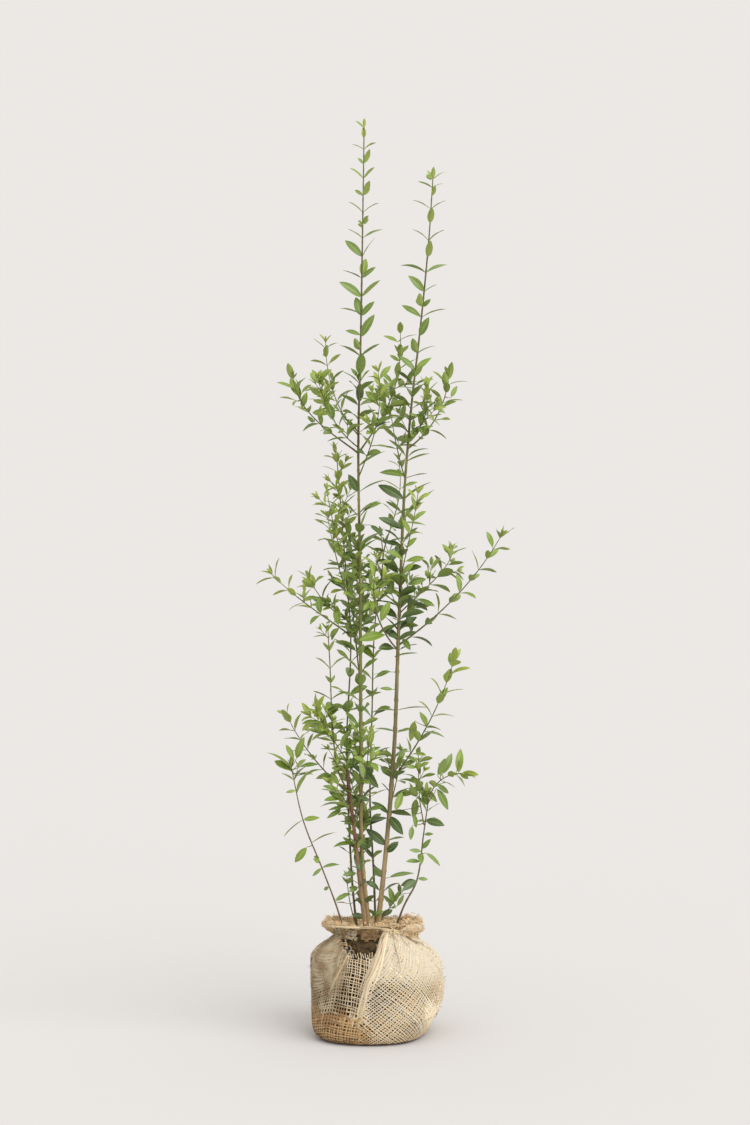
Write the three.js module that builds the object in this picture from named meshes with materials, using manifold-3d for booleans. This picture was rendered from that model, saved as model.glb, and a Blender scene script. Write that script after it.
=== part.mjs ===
// A young privet hedge plant of several stems, standing on its root ball: a ball of soil wrapped in
// hessian and tied at the neck with twine. Millimetres, +Z up, the origin at the centre of the flat
// underside, -Y towards the front.
import * as THREE from "three";
import { mergeVertices } from "three/addons/utils/BufferGeometryUtils.js";
import Module from "manifold-3d";

// ---------------------------------------------------------------- driving dimensions
const GAP = 0.35; // kept between any two solids
const SOIL_TOP = 182; // level of the soil inside the neck, where the stems are cut flat

// The wrap: outer radius by height from the underside to the rim, and how far the front of each
// level is lifted, because the tie sits higher at the front.
const WRAP = {
  thick: 3,
  pleats: 7,
  pleatDepth: 0.035, // of the radius, at the neck
  ruff: 11, // how much further the right of the collar hangs out over the tie
  slant: 3, // how much higher the left of the tie is
  sag: 3.5, // how much further the ball's foot bulges to the left
  tuck: 15, // how far the foot draws in to the right
  droop: 16, // how far the left shoulder draws in
  dent: 6, // how far the right shoulder is pushed in
  corner: 8, // how far the right front of the foot is rounded off, and the left front filled out by less
  dip: 13, // how much lower the back of the rim is
  neckShift: -11, // the neck stands this far to the left of the ball's axis
  square: 0.6, // how much squarer than round the foot is, as the power of its superellipse above 2
  // a level marked outside has no counterpart on the inner surface
  levels: [
    { z: 0, r: 102, lift: 0 },
    { z: 5, r: 110.5, lift: 0 },
    { z: 17, r: 116.5, lift: 0 },
    { z: 40, r: 120.5, lift: 0 },
    { z: 66, r: 123, lift: 0 },
    { z: 95, r: 125, lift: 0 },
    { z: 122, r: 123.5, lift: 0, outside: true },
    { z: 144, r: 117, lift: 3 },
    { z: 159, r: 105, lift: 8 },
    { z: 170, r: 91, lift: 16 },
    { z: 180, r: 77, lift: 21 },
    { z: 187, r: 74.5, lift: 22 },
    { z: 197, r: 79, lift: 15 },
    { z: 206, r: 86, lift: 7, outside: true },
    { z: 214, r: 89, lift: 1 },
  ],
  // a tear in the front of the neck, where the soil shows
  tear: { left: -48, right: 11, top: 198, bottom: 162 },
};
const SOIL = { clearance: 2.6, topRadius: 65 };
const TWINE = { r: 2, level: 188, ring: 78.2, knot: 5, knotAzimuth: -62 };
const SEGMENTS = 28; // round the wrap, the soil and the tie

// Stems that rise from the soil. Each has its radius at the foot and at the tip, and stations of
// height, x and y that give its lean and its slight bends.
const STEMS = {
  left_leader: {
    foot: 4.6,
    tip: 1.0,
    flare: 0.4,
    stations: [[182, -13.2, -2], [334, -28.3, -8], [551, -30.1, -12], [871, -32, -12], [1097, -35.3, -6], [1286, -31.1, -4], [1503, -27.4, 0], [1709, -24.2, 2]],
  },
  right_leader: {
    foot: 5.2,
    tip: 1.0,
    flare: 0.4,
    stations: [[182, 0, 8], [285, 11.3, 8], [383, 20.8, 8], [549, 33.1, 8], [776, 41.6, 8], [1022, 52, 6], [1183, 65.2, 4], [1314, 80.2, 0], [1474, 96.1, -4], [1611, 105.5, -6]],
  },
  old_stem: {
    foot: 4.2,
    tip: 2.9,
    flare: 0.3,
    stations: [[182, -18.8, -18], [252, -28.6, -20], [346, -38.5, -21], [417, -46.9, -22], [496, -56.3, -24]],
  },
  thin_stem_left: {
    foot: 2.4,
    tip: 0.9,
    flare: 0.2,
    stations: [[182, -36.9, 10], [274, -46.4, 12], [397, -53.1, 14], [549, -57.2, 16], [738, -49.7, 16], [890, -60.6, 12], [1080, -75.7, 8]],
  },
  thin_stem_middle: {
    foot: 2.3,
    tip: 0.9,
    flare: 0.2,
    stations: [[182, -1.9, 26], [301, -6.7, 26], [434, -13.3, 26], [595, -9.5, 24], [757, -4.7, 22], [890, 11.3, 18], [935, 7.7, 18]],
  },
  low_left_shoot: {
    foot: 1.9,
    tip: 0.9,
    flare: 0.2,
    stations: [[182, -59, -14], [240, -76.1, -19], [312, -103.2, -22], [403, -138.7, -26], [490, -160.4, -32]],
  },
  low_right_shoot: {
    foot: 2.1,
    tip: 1.1,
    flare: 0.2,
    stations: [[182, 29, -9], [240, 50.7, -16], [290, 75, -22], [375, 87.1, -26], [435, 95.4, -30]],
  },
  // these two leave another stem instead of the soil
  thin_stem_outer: {
    foot: 1.7,
    tip: 0.9,
    parent: "old_stem",
    stations: [[449, -50.7, -23], [496, -73.1, -28], [581, -83.3, -31], [693, -88, -32], [758, -91.7, -34]],
  },
  low_right_fork: {
    foot: 1.2,
    tip: 0.8,
    parent: "low_right_shoot",
    stations: [[393, 88, -27], [443, 79.8, -18], [522, 77.6, -6]],
  },
};

// Shoots that leave a stem: the stem, the height where they leave it, their length, the azimuth and
// elevation in which they start and end (0 is +X and 90 is the back), the share of their length
// that is bare, the radius of their leaf mass, and how far its tip leaves reach past the wood.
const SHOOTS = {
  upper_left_outer: { on: "left_leader", z: 1091, length: 234, azimuth: [-227, -88], elevation: [30, 55], bare: 0.4, leaf: 27, past: 16, limb: 1.7 },
  upper_left_middle: { on: "left_leader", z: 1102, length: 184, azimuth: [-136, -126], elevation: [25, 71], bare: 0.25, leaf: 24, past: 16 },
  upper_left_inner: { on: "left_leader", z: 1125, length: 209, azimuth: [138, 134], elevation: [39, 90], bare: 0.2, leaf: 24, past: 16 },
  upper_centre: { on: "left_leader", z: 1091, length: 267, azimuth: [-19, 102], elevation: [52, 79], bare: 0.3, leaf: 25, past: 16, limb: 1.7 },
  upper_centre_front: { on: "left_leader", z: 1045, length: 239, azimuth: [-28, -106], elevation: [64, 56], bare: 0.2, leaf: 28, past: 16 },
  upper_right_outer: { on: "right_leader", z: 1100, length: 201, azimuth: [31, 5], elevation: [31, 91], bare: 0.3, leaf: 24, past: 18, limb: 1.7 },
  upper_right_inner: { on: "right_leader", z: 1121, length: 136, azimuth: [-35, -105], elevation: [24, 78], bare: 0.2, leaf: 23, past: 16 },
  upper_back: { on: "right_leader", z: 1042, length: 221, azimuth: [111, 96], elevation: [52, 57], bare: 0.2, leaf: 28, past: 18 },
  middle_shoot: { on: "thin_stem_middle", z: 890, length: 223, azimuth: [90, -26], elevation: [42, 101], bare: 0.2, leaf: 24, past: 16 },
  left_column_front: { on: "thin_stem_left", z: 843, length: 203, azimuth: [-101, -146], elevation: [53, 80], bare: 0.2, leaf: 25, past: 16 },
  left_column_back: { on: "thin_stem_left", z: 814, length: 168, azimuth: [128, 123], elevation: [61, 71], bare: 0.2, leaf: 25, past: 16 },
  left_middle_side: { on: "thin_stem_left", z: 772, length: 128, azimuth: [196, 178], elevation: [28, 66], bare: 0.42, leaf: 20, past: 14 },
  left_middle: { on: "thin_stem_left", z: 746, length: 230, azimuth: [-118, -194], elevation: [23, 45], bare: 0.3, leaf: 26, past: 24, limb: 1.7 },
  right_long: { on: "right_leader", z: 728, length: 305, azimuth: [0, -37], elevation: [35, 56], bare: 0.25, leaf: 24, past: 26, limb: 1.9 },
  right_middle: { on: "right_leader", z: 788, length: 185, azimuth: [-21, 86], elevation: [45, 36], bare: 0.15, leaf: 26, past: 18 },
  right_thin: { on: "right_leader", z: 829, length: 200, azimuth: [-89, -37], elevation: [47, 81], bare: 0.25, leaf: 25, past: 16 },
  front_shoot: { on: "right_leader", z: 719, length: 249, azimuth: [-128, -74], elevation: [35, 49], bare: 0.3, leaf: 28, past: 18, limb: 1.9 },
  back_shoot: { on: "left_leader", z: 644, length: 300, azimuth: [109, 85], elevation: [75, 27], bare: 0.35, leaf: 29, past: 18, limb: 2.0 },
  right_rising: { on: "right_leader", z: 474, length: 282, azimuth: [-47, -15], elevation: [44, 74], bare: 0.28, leaf: 24, past: 18, limb: 1.9 },
  lower_left_outer: { on: "old_stem", z: 451, length: 208, azimuth: [158, 152], elevation: [34, 60], bare: 0.3, leaf: 22, past: 16, limb: 1.8 },
  lower_left_inner: { on: "left_leader", z: 465, length: 215, azimuth: [-191, -102], elevation: [63, 44], bare: 0.3, leaf: 22, past: 16 },
  low_front: { on: "old_stem", z: 399, length: 201, azimuth: [-55, -95], elevation: [65, 42], bare: 0.3, leaf: 26, past: 18 },
  low_back: { on: "right_leader", z: 412, length: 185, azimuth: [60, 91], elevation: [68, 18], bare: 0.3, leaf: 26, past: 18 },
  low_back_left: { on: "left_leader", z: 342, length: 190, azimuth: [84, 140], elevation: [40, 74], bare: 0.15, leaf: 22, past: 16 },
  low_right_tip: { on: "low_right_shoot", z: 435, length: 110, azimuth: [-18, -7], elevation: [83, -10], bare: 0.15, leaf: 20, past: 14 },
  foot_left: { on: "thin_stem_left", z: 196, length: 112, azimuth: [178, 165], elevation: [70, 88], bare: 0.3, leaf: 13, past: 10 },
  foot_right: { on: "right_leader", z: 200, length: 96, azimuth: [-10, 10], elevation: [58, 48], bare: 0.35, leaf: 12, past: 10 },
};

// Leaf masses that sit on a length of stem: the stem, from which height to which, and the radius at
// a third of the height and near the top.
const COLUMNS = {
  left_spire: { on: "left_leader", from: 1172, to: 1724, low: 38, high: 24 },
  right_spire: { on: "right_leader", from: 1150, to: 1630, low: 34, high: 25 },
  left_leader_middle: { on: "left_leader", from: 905, to: 1168, low: 23, high: 19 },
  left_column: { on: "thin_stem_left", from: 826, to: 1108, low: 29, high: 24 },
  right_column: { on: "right_leader", from: 744, to: 1060, low: 28, high: 24 },
  centre_column: { on: "thin_stem_middle", from: 742, to: 962, low: 31, high: 27 },
  outer_left_column: { on: "thin_stem_outer", from: 556, to: 788, low: 21, high: 18 },
  lower_centre: { on: "left_leader", from: 512, to: 742, low: 24, high: 18 },
  low_centre_left: { on: "old_stem", from: 366, to: 530, low: 25, high: 24 },
  low_centre_right: { on: "right_leader", from: 286, to: 468, low: 28, high: 22 },
  low_left_top: { on: "low_left_shoot", from: 458, to: 548, low: 27, high: 23 },
  low_right_top: { on: "low_right_fork", from: 436, to: 548, low: 19, high: 15 },
};

// ---------------------------------------------------------------- surfaces
const COLOURS = {
  leaf: [0x5f7d34, 0x6d8b3d, 0x55722f, 0x7c9645, 0x4a6530],
  bark: 0x9a8a68,
  oldBark: 0x7c5f44,
  shoot: 0x6e6e3c,
  soil: 0x4a3a28,
  hessian: 0xcdb994,
  twine: 0xc8af7d,
};
function material(color, roughness) {
  return new THREE.MeshStandardMaterial({ color, roughness, metalness: 0 });
}

// ---------------------------------------------------------------- solids
const wasm = await Module();
wasm.setup();

function toSolid(geometry) {
  const bare = geometry.clone();
  bare.deleteAttribute("normal");
  bare.deleteAttribute("uv");
  const merged = mergeVertices(bare, 1e-3);
  return new wasm.Manifold(
    new wasm.Mesh({
      numProp: 3,
      vertProperties: new Float32Array(merged.attributes.position.array),
      triVerts: new Uint32Array(merged.index.array),
    }),
  );
}

function toGeometry(solid) {
  const mesh = solid.getMesh();
  const position = new Float32Array(mesh.numVert * 3);
  for (let i = 0; i < mesh.numVert; i++)
    position.set(mesh.vertProperties.subarray(i * mesh.numProp, i * mesh.numProp + 3), i * 3);
  const geometry = new THREE.BufferGeometry()
    .setAttribute("position", new THREE.BufferAttribute(position, 3))
    .setIndex(new THREE.BufferAttribute(new Uint32Array(mesh.triVerts), 1));
  const flat = geometry.toNonIndexed();
  flat.computeVertexNormals();
  return flat;
}

// what is left of a solid when others are taken away, as its largest body
function without(solid, others) {
  let left = solid;
  for (const other of others) left = left.subtract(other);
  const bodies = left.decompose();
  bodies.sort((a, b) => b.volume() - a.volume());
  return bodies[0];
}

// ---------------------------------------------------------------- lines that wood follows
function pointOnStem(stations, z) {
  const last = stations.length - 1;
  let i = 0;
  while (i < last - 1 && z > stations[i + 1][0]) i++;
  const slope = (j, c) => {
    const a = stations[Math.max(0, j - 1)];
    const b = stations[Math.min(last, j + 1)];
    return (b[c] - a[c]) / (b[0] - a[0]);
  };
  const h = stations[i + 1][0] - stations[i][0];
  const t = (z - stations[i][0]) / h;
  const blend = (c) =>
    (2 * t ** 3 - 3 * t ** 2 + 1) * stations[i][c] +
    (t ** 3 - 2 * t ** 2 + t) * h * slope(i, c) +
    (-2 * t ** 3 + 3 * t ** 2) * stations[i + 1][c] +
    (t ** 3 - t ** 2) * h * slope(i + 1, c);
  return new THREE.Vector3(blend(1), blend(2), z);
}

function stemLine(stations, from, to, count) {
  const points = [];
  for (let i = 0; i <= count; i++) points.push(pointOnStem(stations, from + ((to - from) * i) / count));
  return points;
}

function shootLine(shoot, steps) {
  const rad = THREE.MathUtils.degToRad;
  const p = pointOnStem(STEMS[shoot.on].stations, shoot.z);
  const points = [p.clone()];
  for (let i = 0; i < steps; i++) {
    const t = (i + 0.5) / steps;
    const a = rad(shoot.azimuth[0] + (shoot.azimuth[1] - shoot.azimuth[0]) * t);
    const e = rad(shoot.elevation[0] + (shoot.elevation[1] - shoot.elevation[0]) * t);
    p.add(
      new THREE.Vector3(Math.cos(e) * Math.cos(a), Math.cos(e) * Math.sin(a), Math.sin(e)).multiplyScalar(
        shoot.length / steps,
      ),
    );
    points.push(p.clone());
  }
  return points;
}

// a line made longer at its end, in the direction that it ends in
function lengthened(points, by) {
  const n = points.length - 1;
  const way = points[n].clone().sub(points[n - 1]).normalize();
  return [...points, points[n].clone().addScaledVector(way, by)];
}

// A geometry that stands along y, in rows, is bent along a line: radius(u, angle) is its radius.
function bent(geometry, points, rows, rowOf, radius, flatFoot) {
  const curve = new THREE.CatmullRomCurve3(points, false, "centripetal");
  const frames = curve.computeFrenetFrames(rows, false);
  const at = [];
  for (let i = 0; i <= rows; i++) at.push(curve.getPointAt(i / rows));
  const position = geometry.attributes.position;
  for (let i = 0; i < position.count; i++) {
    const x = position.getX(i);
    const z = position.getZ(i);
    const row = rowOf(position.getY(i));
    const away = Math.hypot(x, z);
    const angle = Math.atan2(z, x);
    const r = away < 1e-6 ? 0 : radius(row / rows, angle, row);
    const side = new THREE.Vector3().crossVectors(frames.normals[row], frames.tangents[row]);
    const p = at[row]
      .clone()
      .addScaledVector(frames.normals[row], r * Math.cos(angle))
      .addScaledVector(side, r * Math.sin(angle));
    if (flatFoot && row === 0) p.z = at[0].z;
    position.setXYZ(i, p.x, p.y, p.z);
  }
  return geometry;
}

// a tapering limb of round section, closed at both ends
function limb(points, foot, tip, { flare = 0, sides = 7, rows = 8, grow = 0, flatFoot = false }) {
  const cylinder = new THREE.CylinderGeometry(1, 1, 1, sides, rows);
  return bent(
    cylinder,
    points,
    rows,
    (y) => Math.round((y + 0.5) * rows),
    (u) => (foot + (tip - foot) * u ** 0.8) * (1 + flare * Math.max(0, 1 - u * rows)) + grow,
    flatFoot,
  );
}

// An uneven closed solid round a line: its lobes turn by a quarter from row to row, as pairs of
// leaves do, and it narrows to a point at the tip.
function leafMass(points, low, high, seed, { sides = 8, rows = 9, grow = 0 }) {
  const sphere = new THREE.SphereGeometry(1, sides, rows);
  const phase = [0, 1, 2].map((k) => 2 * Math.PI * (((seed + 1) * (0.377 + 0.211 * k)) % 1));
  return bent(
    sphere,
    points,
    rows,
    (y) => Math.round((1 - Math.acos(THREE.MathUtils.clamp(y, -1, 1)) / Math.PI) * rows),
    (u, angle, row) => {
      const body = Math.sin(Math.PI * u ** 0.85) ** 0.5;
      const size = low + (high - low) * THREE.MathUtils.smoothstep(u, 0.25, 0.95);
      const lobes = 1 + 0.16 * Math.cos(2 * angle + Math.PI * row + phase[0]);
      const swell = 1 + 0.1 * Math.sin(3 * angle + phase[1]) + 0.08 * Math.sin(7 * u + phase[2]);
      return Math.max(1.5, size * body * lobes * swell * 0.94) + grow;
    },
    false,
  );
}

// ---------------------------------------------------------------- the wrap, the soil and the tie
// 1 at the very front, 0 at the sides and the back
const frontness = (azimuth) => Math.max(0, -Math.sin(azimuth)) ** 1.5;

// 1 at an azimuth given in degrees, fading to nothing on both sides of it
function near(azimuth, at, spread) {
  const off = azimuth - THREE.MathUtils.degToRad(at);
  return Math.exp(-((Math.atan2(Math.sin(off), Math.cos(off)) / THREE.MathUtils.degToRad(spread)) ** 2));
}

// where a level of the wrap lies at an azimuth: pleats gather towards the neck
function wrapped(r, z, azimuth) {
  const { levels, pleats, pleatDepth, neckShift, ruff, slant, sag, tuck, droop, dip, dent, corner, square } = WRAP;
  let i = 0;
  while (i < levels.length - 2 && z > levels[i + 1].z) i++;
  const t = THREE.MathUtils.clamp((z - levels[i].z) / (levels[i + 1].z - levels[i].z), 0, 1);
  const lift = levels[i].lift + (levels[i + 1].lift - levels[i].lift) * t;
  const gather = THREE.MathUtils.smoothstep(z, 100, 180);
  const pleat = pleatDepth * gather * Math.cos(pleats * azimuth + 0.6);
  const uneven = 0.012 * Math.sin(2 * azimuth + 0.9) * THREE.MathUtils.smoothstep(z, 0, 60);
  const shift = neckShift * THREE.MathUtils.smoothstep(z, 130, 178);
  const over = THREE.MathUtils.smoothstep(z, 188, 196) * (1 - THREE.MathUtils.smoothstep(z, 200, 216));
  const low = THREE.MathUtils.smoothstep(z, 0, 8) * (1 - THREE.MathUtils.smoothstep(z, 20, 90));
  const shoulder = THREE.MathUtils.smoothstep(z, 145, 170) * (1 - THREE.MathUtils.smoothstep(z, 178, 190));
  const pushed = THREE.MathUtils.smoothstep(z, 95, 142) * (1 - THREE.MathUtils.smoothstep(z, 144, 172));
  const foot = 1 - THREE.MathUtils.smoothstep(z, 10, 60);
  const power = 2 + square * (1 - THREE.MathUtils.smoothstep(z, 20, 90));
  const plan = (Math.abs(Math.cos(azimuth)) ** power + Math.abs(Math.sin(azimuth)) ** power) ** (-1 / power);
  const out =
    r * plan * (1 + pleat + uneven) +
    ruff * over * Math.max(0, Math.cos(azimuth)) ** 2 +
    sag * low * Math.max(0, -Math.cos(azimuth)) -
    tuck * (1 - THREE.MathUtils.smoothstep(z, 10, 75)) * Math.max(0, Math.cos(azimuth)) ** 1.5 -
    droop * shoulder * Math.max(0, -Math.cos(azimuth)) ** 2 -
    dent * pushed * near(azimuth, -4, 36) -
    corner * foot * (near(azimuth, -36, 26) - 0.7 * near(azimuth, -145, 24) - 0.35 * near(azimuth, -98, 24));
  const tilt = slant * gather * (1 - THREE.MathUtils.smoothstep(z, 190, 208));
  const sunk = dip * THREE.MathUtils.smoothstep(z, 190, 214) * Math.max(0, Math.sin(azimuth)) ** 1.5;
  const raised = lift * frontness(azimuth) - tilt * Math.cos(azimuth) - sunk;
  return new THREE.Vector3(shift + out * Math.cos(azimuth), out * Math.sin(azimuth), z + raised);
}

// a closed lathe profile turned about Z, with each point moved as the wrap is there
function turned(profile, segments) {
  const lathe = new THREE.LatheGeometry(
    profile.map(([r, z]) => new THREE.Vector2(r, z)),
    segments,
  );
  const position = lathe.attributes.position;
  for (let i = 0; i < position.count; i++) {
    const x = position.getX(i);
    const z = position.getZ(i);
    const r = Math.hypot(x, z);
    const p = r < 1e-6 ? new THREE.Vector3(0, 0, position.getY(i)) : wrapped(r, position.getY(i), Math.atan2(-z, x));
    position.setXYZ(i, p.x, p.y, p.z);
  }
  return lathe;
}

// the same levels, moved inwards square to the profile
function inward(levels, by) {
  return levels.map((level, i) => {
    const a = levels[Math.max(0, i - 1)];
    const b = levels[Math.min(levels.length - 1, i + 1)];
    const long = Math.hypot(b.r - a.r, b.z - a.z);
    return { ...level, r: level.r - ((b.z - a.z) / long) * by, z: level.z + ((b.r - a.r) / long) * by };
  });
}

function insideOf(by) {
  return inward(WRAP.levels, by)
    .filter((level) => !level.outside)
    .map(({ r, z }) => [r, Math.max(z, by)]);
}

function hessianWrap() {
  const outer = WRAP.levels.map(({ r, z }) => [r, z]);
  const inner = insideOf(WRAP.thick).reverse();
  inner[0][1] = outer[outer.length - 1][1]; // the rim is level from its outside to its inside
  const bag = toSolid(turned([[0, 0], ...outer, ...inner, [0, WRAP.thick]], SEGMENTS));
  const { left, right, top, bottom } = WRAP.tear;
  const hole = new THREE.Shape([
    new THREE.Vector2(left, top - 6),
    new THREE.Vector2(left * 0.35, top),
    new THREE.Vector2(right, top - 4),
    new THREE.Vector2(right - 8, bottom + 2),
    new THREE.Vector2(left * 0.5, bottom),
  ].reverse());
  const cutter = new THREE.ExtrudeGeometry(hole, { depth: 110, bevelEnabled: false });
  cutter.rotateX(Math.PI / 2); // the outline now lies in XZ and reaches towards the front
  cutter.translate(0, -45, 0);
  return without(bag, [toSolid(cutter)]);
}

function rootBall() {
  const deep = WRAP.thick + SOIL.clearance;
  const side = insideOf(deep).filter(([, z]) => z < SOIL_TOP - 2);
  const solid = toSolid(turned([[0, deep], ...side, [SOIL.topRadius, SOIL_TOP + 4], [0, SOIL_TOP + 4]], SEGMENTS));
  // the soil is level where the stems stand on it
  const lid = new THREE.BoxGeometry(400, 400, 100);
  lid.translate(0, 0, SOIL_TOP + 50);
  return without(solid, [toSolid(lid)]);
}

function twineTie() {
  const ring = new THREE.TorusGeometry(TWINE.ring, TWINE.r, 5, SEGMENTS);
  const position = ring.attributes.position;
  for (let i = 0; i < position.count; i++) {
    const azimuth = Math.atan2(position.getY(i), position.getX(i));
    const r = Math.hypot(position.getX(i), position.getY(i));
    const p = wrapped(r, TWINE.level, azimuth);
    position.setXYZ(i, p.x, p.y, p.z + position.getZ(i));
  }
  const knot = new THREE.SphereGeometry(TWINE.knot, 6, 4);
  const at = wrapped(TWINE.ring + TWINE.knot - 1.5, TWINE.level, THREE.MathUtils.degToRad(TWINE.knotAzimuth));
  knot.translate(at.x, at.y, at.z);
  return toSolid(ring).add(toSolid(knot));
}

// ---------------------------------------------------------------- the plant
export const plant = new THREE.Group();
const foot = new THREE.Group();
const wood = new THREE.Group();
const crown = new THREE.Group();
plant.add(foot, wood, crown);

function addTo(group, name, solid, surface) {
  const mesh = new THREE.Mesh(toGeometry(solid), surface);
  mesh.name = name;
  group.add(mesh);
}

const wrap = hessianWrap();
const tie = twineTie();
addTo(foot, "hessian_wrap", without(wrap, []), material(COLOURS.hessian, 0.9));
addTo(foot, "root_ball", without(rootBall(), []), material(COLOURS.soil, 0.95));
addTo(foot, "twine_tie", without(tie, [wrap]), material(COLOURS.twine, 0.85));

const taken = []; // what is there already, grown by the gap

// stems, whole from their flat foot to their tip
const grownStems = {};
for (const [name, stem] of Object.entries(STEMS)) {
  const low = stem.stations[0][0] + (stem.parent ? 0 : GAP);
  const high = stem.stations[stem.stations.length - 1][0];
  const rows = Math.max(5, Math.round((high - low) / 135));
  const points = stemLine(stem.stations, low, high, rows + 2);
  const shape = (grow) =>
    toSolid(
      limb(grow ? lengthened(points, grow) : points, stem.foot, stem.tip, {
        flare: stem.flare,
        sides: 6,
        rows,
        grow,
        flatFoot: !stem.parent,
      }),
    );
  const solid = without(shape(0), stem.parent ? [grownStems[stem.parent]] : []);
  grownStems[name] = shape(GAP);
  taken.push(grownStems[name]);
  const surface =
    name === "old_stem" ? material(COLOURS.oldBark, 0.8) : material(stem.foot > 4 ? COLOURS.bark : COLOURS.shoot, 0.7);
  addTo(wood, name, solid, surface);
}

// boughs, from their stem to where they enter their leaves
for (const [name, shoot] of Object.entries(SHOOTS)) {
  if (!shoot.limb) continue;
  const line = shootLine(shoot, 20);
  const end = Math.max(3, Math.round(line.length * (shoot.bare + 0.06)));
  const points = line.slice(0, end);
  const shape = (grow) =>
    toSolid(limb(grow ? lengthened(points, grow) : points, shoot.limb, shoot.limb * 0.75, { sides: 5, rows: 2, grow }));
  const solid = without(shape(0), taken);
  taken.push(shape(GAP));
  addTo(wood, name + "_bough", solid, material(COLOURS.shoot, 0.7));
}

// leaf masses on the stems, then those on the shoots, each cut round all that is there already
let count = 0;
function addMass(name, points, low, high, options) {
  const seed = count++;
  const solid = without(toSolid(leafMass(points, low, high, seed, options)), taken);
  taken.push(toSolid(leafMass(points, low, high, seed, { ...options, grow: GAP })));
  addTo(crown, name, solid, material(COLOURS.leaf[seed % COLOURS.leaf.length], 0.6));
}
for (const [name, column] of Object.entries(COLUMNS)) {
  const { stations } = STEMS[column.on];
  const top = stations[stations.length - 1][0];
  let points = stemLine(stations, column.from, Math.min(column.to, top), 6);
  if (column.to > top) points = lengthened(points, column.to - top);
  const tall = column.to - column.from > 300;
  addMass(name + "_leaves", points, column.low, column.high, { sides: tall ? 8 : 7, rows: tall ? 10 : 7 });
}
for (const [name, shoot] of Object.entries(SHOOTS)) {
  const line = shootLine(shoot, 20);
  const start = Math.round(line.length * shoot.bare);
  const points = lengthened(line.slice(start).filter((p, i) => i % 3 === 0 || i === line.length - start - 1), shoot.past);
  addMass(name + "_leaves", points, shoot.leaf, shoot.leaf * 0.8, { sides: 7, rows: 7 });
}

export default plant;
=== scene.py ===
"""Looks of the young privet on its hessian-wrapped root ball. Metres, +Z up, the origin at the centre of the
flat underside, -Y towards the front. The tables are in millimetres, as on the CAD model."""

import math
import random

import bpy
import numpy as np
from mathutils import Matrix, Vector


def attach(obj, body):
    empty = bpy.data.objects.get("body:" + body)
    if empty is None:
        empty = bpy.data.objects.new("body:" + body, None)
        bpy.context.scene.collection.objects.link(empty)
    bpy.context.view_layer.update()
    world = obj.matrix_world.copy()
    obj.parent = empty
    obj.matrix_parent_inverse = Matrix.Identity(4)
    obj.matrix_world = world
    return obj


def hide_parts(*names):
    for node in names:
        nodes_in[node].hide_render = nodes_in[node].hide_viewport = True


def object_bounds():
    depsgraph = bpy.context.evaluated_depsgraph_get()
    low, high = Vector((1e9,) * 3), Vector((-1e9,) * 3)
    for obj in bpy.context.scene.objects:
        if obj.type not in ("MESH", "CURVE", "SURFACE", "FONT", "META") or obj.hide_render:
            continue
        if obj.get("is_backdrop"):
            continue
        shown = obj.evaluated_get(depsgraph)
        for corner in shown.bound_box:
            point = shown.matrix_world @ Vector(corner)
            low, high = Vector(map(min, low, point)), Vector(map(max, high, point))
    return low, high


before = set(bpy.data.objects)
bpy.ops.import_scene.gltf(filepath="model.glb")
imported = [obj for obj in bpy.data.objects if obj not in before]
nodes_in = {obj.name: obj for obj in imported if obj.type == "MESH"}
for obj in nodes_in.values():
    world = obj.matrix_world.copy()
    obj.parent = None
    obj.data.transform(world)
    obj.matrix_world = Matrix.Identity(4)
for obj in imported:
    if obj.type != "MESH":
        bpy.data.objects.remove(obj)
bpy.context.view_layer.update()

MM = 0.001
TAU = 2 * math.pi

# ---------------------------------------------------------------- the plant's frame, as on the CAD model
WRAP = {
    "pleats": 7,
    "pleat_depth": 0.035,
    "ruff": 11,
    "slant": 3,
    "sag": 3.5,
    "tuck": 15,
    "droop": 16,
    "dent": 6,
    "corner": 8,
    "dip": 13,
    "neck_shift": -11,
    # height, outer radius, how far the front is lifted
    "levels": [
        (0, 102, 0), (5, 110.5, 0), (17, 116.5, 0), (40, 120.5, 0), (66, 123, 0), (95, 125, 0), (122, 123.5, 0),
        (144, 117, 3), (159, 105, 8), (170, 91, 16), (180, 77, 21), (187, 74.5, 22), (197, 79, 15), (206, 86, 7),
        (214, 89, 1),
    ],
    "tear": {"left": -49, "right": 12, "top": 199, "bottom": 162},
}  # fmt: skip
SOIL_TOP = 182
SQUARE = 0.6  # how much squarer than round the plan is at the foot, as the power of a superellipse above 2

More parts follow.
